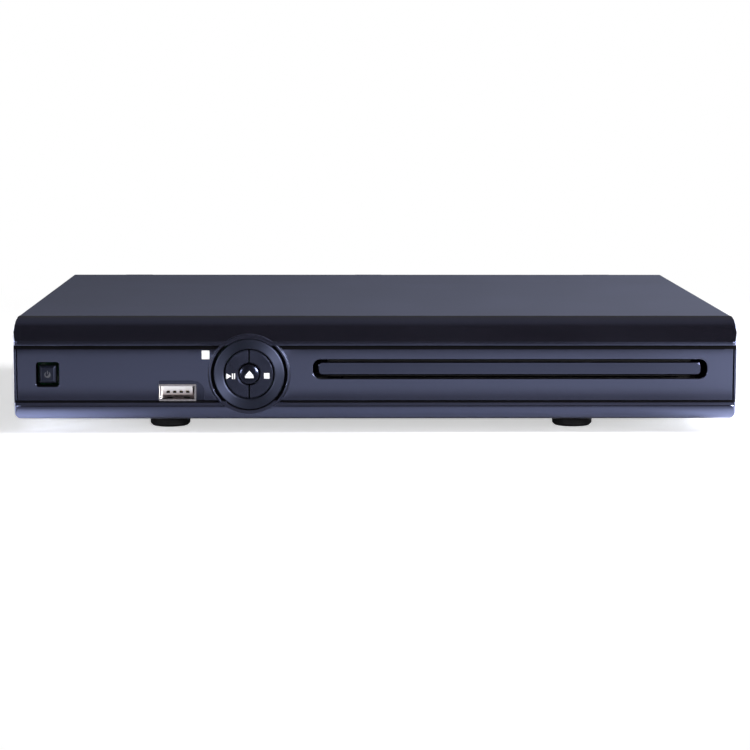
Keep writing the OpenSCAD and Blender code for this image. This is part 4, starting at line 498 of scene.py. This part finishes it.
# The front panel's own finishes: depths are in mm behind its foremost plane, heights and widths in mm
panelZones = {
    "foremost": -104,
    "inside": {"halfWidth": 134.4, "low": 7, "high": 33.4, "depth": 1.45},
    "endGroove": {"near": 133.4, "far": 134.2, "low": 12, "high": 31.6, "facing": 0.9},
    "portRecess": {"depths": (1.7, 1.9), "facing": -0.9},
    "channel": {"radius": 14.33, "facing": -0.5, "depth": 0.5},
    "collar": {"radii": (14.33, 15.5), "depth": 1.35, "low": 10.4, "facing": -0.97},
}
grooveShadeSlot, recessShadeSlot, endGrooveHighlightSlot, collarSlot = 1, 2, 3, 4
panelMesh = pieces["frontPanel"].data
for finish in (paintedGrooveShade, doorLacquerAndRecessShade, paintedEdgeHighlight, collarLacquer):
    panelMesh.materials.append(finish)
zone, groove, recess = panelZones["inside"], panelZones["endGroove"], panelZones["portRecess"]
channelZone, collar = panelZones["channel"], panelZones["collar"]
for face in panelMesh.polygons:
    across = face.center.x / mm
    depth = face.center.y / mm - panelZones["foremost"]
    height = face.center.z / mm
    fromRing = math.hypot(across - ringMiddle[0], height - ringMiddle[1])
    inside = abs(across) < zone["halfWidth"] and zone["low"] < height < zone["high"] and depth > zone["depth"]
    inChannel = fromRing < channelZone["radius"] and (face.normal.y > channelZone["facing"]
                                                      or depth > channelZone["depth"])
    inGroove = groove["near"] < abs(across) < groove["far"] and groove["low"] < height < groove["high"]
    inRecess = inside and recess["depths"][0] < depth < recess["depths"][1]
    onCollar = collar["radii"][0] < fromRing < collar["radii"][1] and depth < collar["depth"] and height > collar["low"]
    if inGroove and face.normal.x > groove["facing"]:        # only the end grooves' walls towards the right: painted highlight
        face.material_index = endGrooveHighlightSlot
    elif inRecess and face.normal.y < recess["facing"]:      # the finger recess round the port: painted shade in the darker lacquer
        face.material_index = recessShadeSlot
    elif onCollar and face.normal.y > collar["facing"]:      # the collar's rim and fillet
        face.material_index = collarSlot
    elif inside or inChannel:                                # grooves, slot, channel and openings: painted shade
        face.material_index = grooveShadeSlot
print("outer pieces ready")


# The port's flared left side with its painted highlight, and painted shade for the windows in its tongue, over the
# plain solids

def blockPiece(name, outline, heights, material):
    shape = bmesh.new()
    ends = [[shape.verts.new((x * mm, y * mm, z * mm)) for x, y in outline] for z in heights]
    count = len(outline)
    shape.faces.new(ends[0])
    shape.faces.new(list(reversed(ends[1])))
    for i in range(count):
        shape.faces.new([ends[0][i], ends[1][i], ends[1][(i + 1) % count], ends[0][(i + 1) % count]])
    bmesh.ops.recalc_face_normals(shape, faces=shape.faces)
    mesh = bpy.data.meshes.new(name)
    shape.to_mesh(mesh)
    shape.free()
    return linkPiece(name, mesh, "casing", material)


portMouth = {"left": -80.85, "bend": -80.3, "right": -79.62, "front": -102.57, "back": -101.3, "low": 13.0,
             "high": 17.75, "lip": 0.3, "turn": 0.1, "thick": 0.4}
mouth = portMouth
# the flare's paler nickel is a painted highlight on the port's lit left side
blockPiece("portFlare",
           [(mouth["left"], mouth["front"] + mouth["lip"]), (mouth["left"], mouth["front"]),
            (mouth["bend"], mouth["front"] + mouth["turn"]), (mouth["right"], mouth["back"]),
            (mouth["right"] - mouth["thick"], mouth["back"])],
           (mouth["low"], mouth["high"]), satinNickelHighlight)
# painted shade over the tongue's front where its windows lie deep
windowShadeSizes = {"count": 4, "middle": -73.95, "pitch": 2.45, "half": 0.66, "low": 14.95, "high": 15.6,
                 "front": -101.52, "back": -101.3}
windowShade = windowShadeSizes
for index in range(windowShade["count"]):
    centre = windowShade["middle"] + (index - (windowShade["count"] - 1) / 2) * windowShade["pitch"]
    left, right = centre - windowShade["half"], centre + windowShade["half"]
    blockPiece("tongueWindowShade" + str(index + 1),
               [(left, windowShade["front"]), (right, windowShade["front"]), (right, windowShade["back"]), (left, windowShade["back"])],
               (windowShade["low"], windowShade["high"]), paintedHoleShade)
print("port ready")


# Printed marks that lie on the keys

inFront = -0.5           # metres, well before the front, where the marks are thrown from


def layMark(name, outlines, node, body, material, proudMm=0.02, thickMm=0.03):
    surface = surfaceOf(node)
    shape = bmesh.new()
    for outline in outlines:
        corners = [shape.verts.new((x * mm, 0, z * mm)) for x, z in outline]
        shape.faces.new(corners)
    bmesh.ops.triangulate(shape, faces=shape.faces)
    bmesh.ops.subdivide_edges(shape, edges=shape.edges, cuts=4, use_grid_fill=True)
    for vert in shape.verts:
        hit = surface.ray_cast(Vector((vert.co.x, inFront, vert.co.z)), Vector((0, 1, 0)))[0]
        vert.co.y = hit.y - proudMm * mm
    bmesh.ops.recalc_face_normals(shape, faces=shape.faces)
    backs = bmesh.ops.extrude_face_region(shape, geom=shape.faces[:])["geom"]
    for vert in [v for v in backs if isinstance(v, bmesh.types.BMVert)]:
        vert.co.y += thickMm * mm
    bmesh.ops.recalc_face_normals(shape, faces=shape.faces)
    mesh = bpy.data.meshes.new(name)
    shape.to_mesh(mesh)
    shape.free()
    return linkPiece(name, mesh, body, material)


whiteInkGlow = makeFinish(          # pad-printed ink: dense matte white, with a faint painted glow
    "whiteInkGlow", ("#f6f8fb", "#ffffff"), 2, 0.2, 0.002, (0.45, 0.55),
    {"IOR": 1.5, "Emission Color": (1, 1, 1, 1), "Emission Strength": 0.2})
faintInk = makeFinish(          # faint grey ink on the power key
    "faintInk", ("#4a4c58", "#555765"), 2, 0.2, 0.002, (0.45, 0.55), {"IOR": 1.5})


def boxOutline(left, right, low, high):
    return [(left, low), (right, low), (right, high), (left, high)]


playMark = {"left": -55.75, "right": -52.5, "middle": 21.45, "half": 1.06, "bar": 0.44, "space": 0.32, "tipIn": 0.2}
mark = playMark
low, high = mark["middle"] - mark["half"], mark["middle"] + mark["half"]
firstBar = mark["right"] - 2 * mark["bar"] - mark["space"]
secondBar = mark["right"] - mark["bar"]
tip = mark["right"] - 2 * (mark["bar"] + mark["space"]) + mark["tipIn"]
layMark("playMark", [
    [(mark["left"], low), (tip, mark["middle"]), (mark["left"], high)],
    boxOutline(firstBar, mark["right"] - mark["bar"] - mark["space"], low, high),
    boxOutline(secondBar, mark["right"], low, high),
], "play_pause_button", "play_pause", whiteInkGlow)

stopMark = {"left": -41.78, "right": -39.72, "low": 20.55, "high": 22.65}
mark = stopMark
layMark("stopMark", [boxOutline(mark["left"], mark["right"], mark["low"], mark["high"])],
        "stop_button", "stop", whiteInkGlow)

ejectMark = {"middle": -47.2, "half": 1.6, "barLow": 20.8, "barHigh": 21.6, "low": 21.75, "high": 23.55}
mark = ejectMark
left, right = mark["middle"] - mark["half"], mark["middle"] + mark["half"]
layMark("ejectMark", [
    boxOutline(left, right, mark["barLow"], mark["barHigh"]),
    [(left, mark["low"]), (right, mark["low"]), (mark["middle"], mark["high"])],
], "eject_button", "eject", whiteInkGlow)


def ringOutline(centre, outer, inner, start, end, steps=14):
    angles = [math.radians(start + (end - start) * i / steps) for i in range(steps + 1)]
    return ([(centre[0] + outer * math.cos(a), centre[1] + outer * math.sin(a)) for a in angles]
            + [(centre[0] + inner * math.cos(a), centre[1] + inner * math.sin(a)) for a in reversed(angles)])


standbyMark = {"centre": (-122.3, 22.0), "outer": 1.15, "inner": 0.92, "start": 120, "end": 420, "bar": 0.13,
               "foot": 0.2, "top": 1.5}
mark = standbyMark
middle, height = mark["centre"]
layMark("standbyMark", [
    ringOutline(mark["centre"], mark["outer"], mark["inner"], mark["start"], mark["end"]),
    boxOutline(middle - mark["bar"], middle + mark["bar"], height + mark["foot"], height + mark["top"]),
], "power_button", "power", faintInk)
print("marks ready")


# Jacks at the back: gold-flashed sleeves with coloured insulators, spun in place of the plain solids

jackSet = {"xs": (-47.2, -33.2, -19.2), "z": 21.1, "outer": 4.15, "inner": 3.35, "bore": 1.6, "rear": 104.0,
           "start": 91.2, "sunk": 0.5, "back": 0.5, "slack": 0.02,
           "outerEdge": 0.25, "innerEdge": 0.15, "boreEdge": 0.2, "sleeveSteps": 64, "insulatorSteps": 48,
           "inks": ("#d9b21c", "#e9e9e6", "#b3161c")}


def spunRing(name, profile, axisPoint, steps, material, replaced=()):
    shape = bmesh.new()
    verts = [shape.verts.new((axisPoint[0] + r * mm, y * mm, axisPoint[2])) for r, y in profile]
    edges = [shape.edges.new((verts[i], verts[(i + 1) % len(verts)])) for i in range(len(verts))]
    bmesh.ops.spin(shape, geom=verts + edges, cent=axisPoint, axis=(0, 1, 0), angle=math.tau, steps=steps,
                   use_merge=True)
    bmesh.ops.remove_doubles(shape, verts=shape.verts, dist=1e-6)
    bmesh.ops.recalc_face_normals(shape, faces=shape.faces)
    mesh = bpy.data.meshes.new(name)
    shape.to_mesh(mesh)
    shape.free()
    return shadeByArea(linkPiece(name, mesh, "casing", material, replaced))


jack = jackSet
rear, sunkRear, backStart = jack["rear"], jack["rear"] - jack["sunk"], jack["start"] + jack["back"]
for index, x in enumerate(jack["xs"]):
    centre = (x * mm, 0, jack["z"] * mm)
    spunRing("jackSleeve" + str(index + 1),
             [(jack["inner"], jack["start"]), (jack["outer"], jack["start"]),
              (jack["outer"], rear - jack["outerEdge"]), (jack["outer"] - jack["outerEdge"], rear),
              (jack["inner"] + jack["innerEdge"], rear), (jack["inner"], rear - jack["innerEdge"])],
             centre, jack["sleeveSteps"], goldFlash, ("phono_jacks",) if index == 0 else ())
    ink = jack["inks"][index]
    insulator = makeFinish("jackInk" + str(index + 1), (ink, ink), 3, 0.3, 0.003, (0.3, 0.4), {"IOR": 1.5})
    spunRing("jackInsulator" + str(index + 1),
             [(jack["bore"], backStart), (jack["inner"] - jack["slack"], backStart),
              (jack["inner"] - jack["slack"], sunkRear), (jack["bore"] + jack["boreEdge"], sunkRear),
              (jack["bore"], sunkRear - jack["boreEdge"])],
             centre, jack["insulatorSteps"], insulator)
print("rear jacks ready")


# The remaining nodes keep their solids and get their real finishes

for node, finish in {
    "front_board": solderMask, "main_board": solderMask, "power_board": laminate, "tact_switches": darkNylon,
    "power_switch": darkNylon, "indicator_led": milkDiffuserGlow, "remote_sensor": darkNylon,
    "port_contacts": goldFlash, "loader_frame": loaderPlastic, "loader_screws": zincScrew,
    "clamp_bridge": zincSheet, "bridge_screws": zincScrew, "clamp_puck": darkNylon, "clamp_magnet": ferritePlate,
    "drive_gear": darkNylon, "motor_pulley": whiteNylon, "drive_belt": beltRubber, "loading_motor": motorSteel,
    "cam_slider": whiteNylon, "traverse_frame": darkNylon, "deck_plate": zincSheet, "deck_grommets": mouldedRubber,
    "deck_screws": zincScrew, "spindle_motor": motorSteel, "spindle_rotor": motorSteel, "turntable": darkNylon,
    "guide_rods": groundRod, "pickup": castAlloy, "pickup_lens": coatedLens, "sled_motor": motorSteel,
    "lead_screw": goldFlash, "front_ribbon": whiteNylon, "transformer": tapedCore, "power_parts": darkNylon,
    "main_chips": darkNylon, "phono_block": darkNylon, "board_screws": zincScrew,
}.items():
    paintNode(node, finish)
print("inner finishes ready")
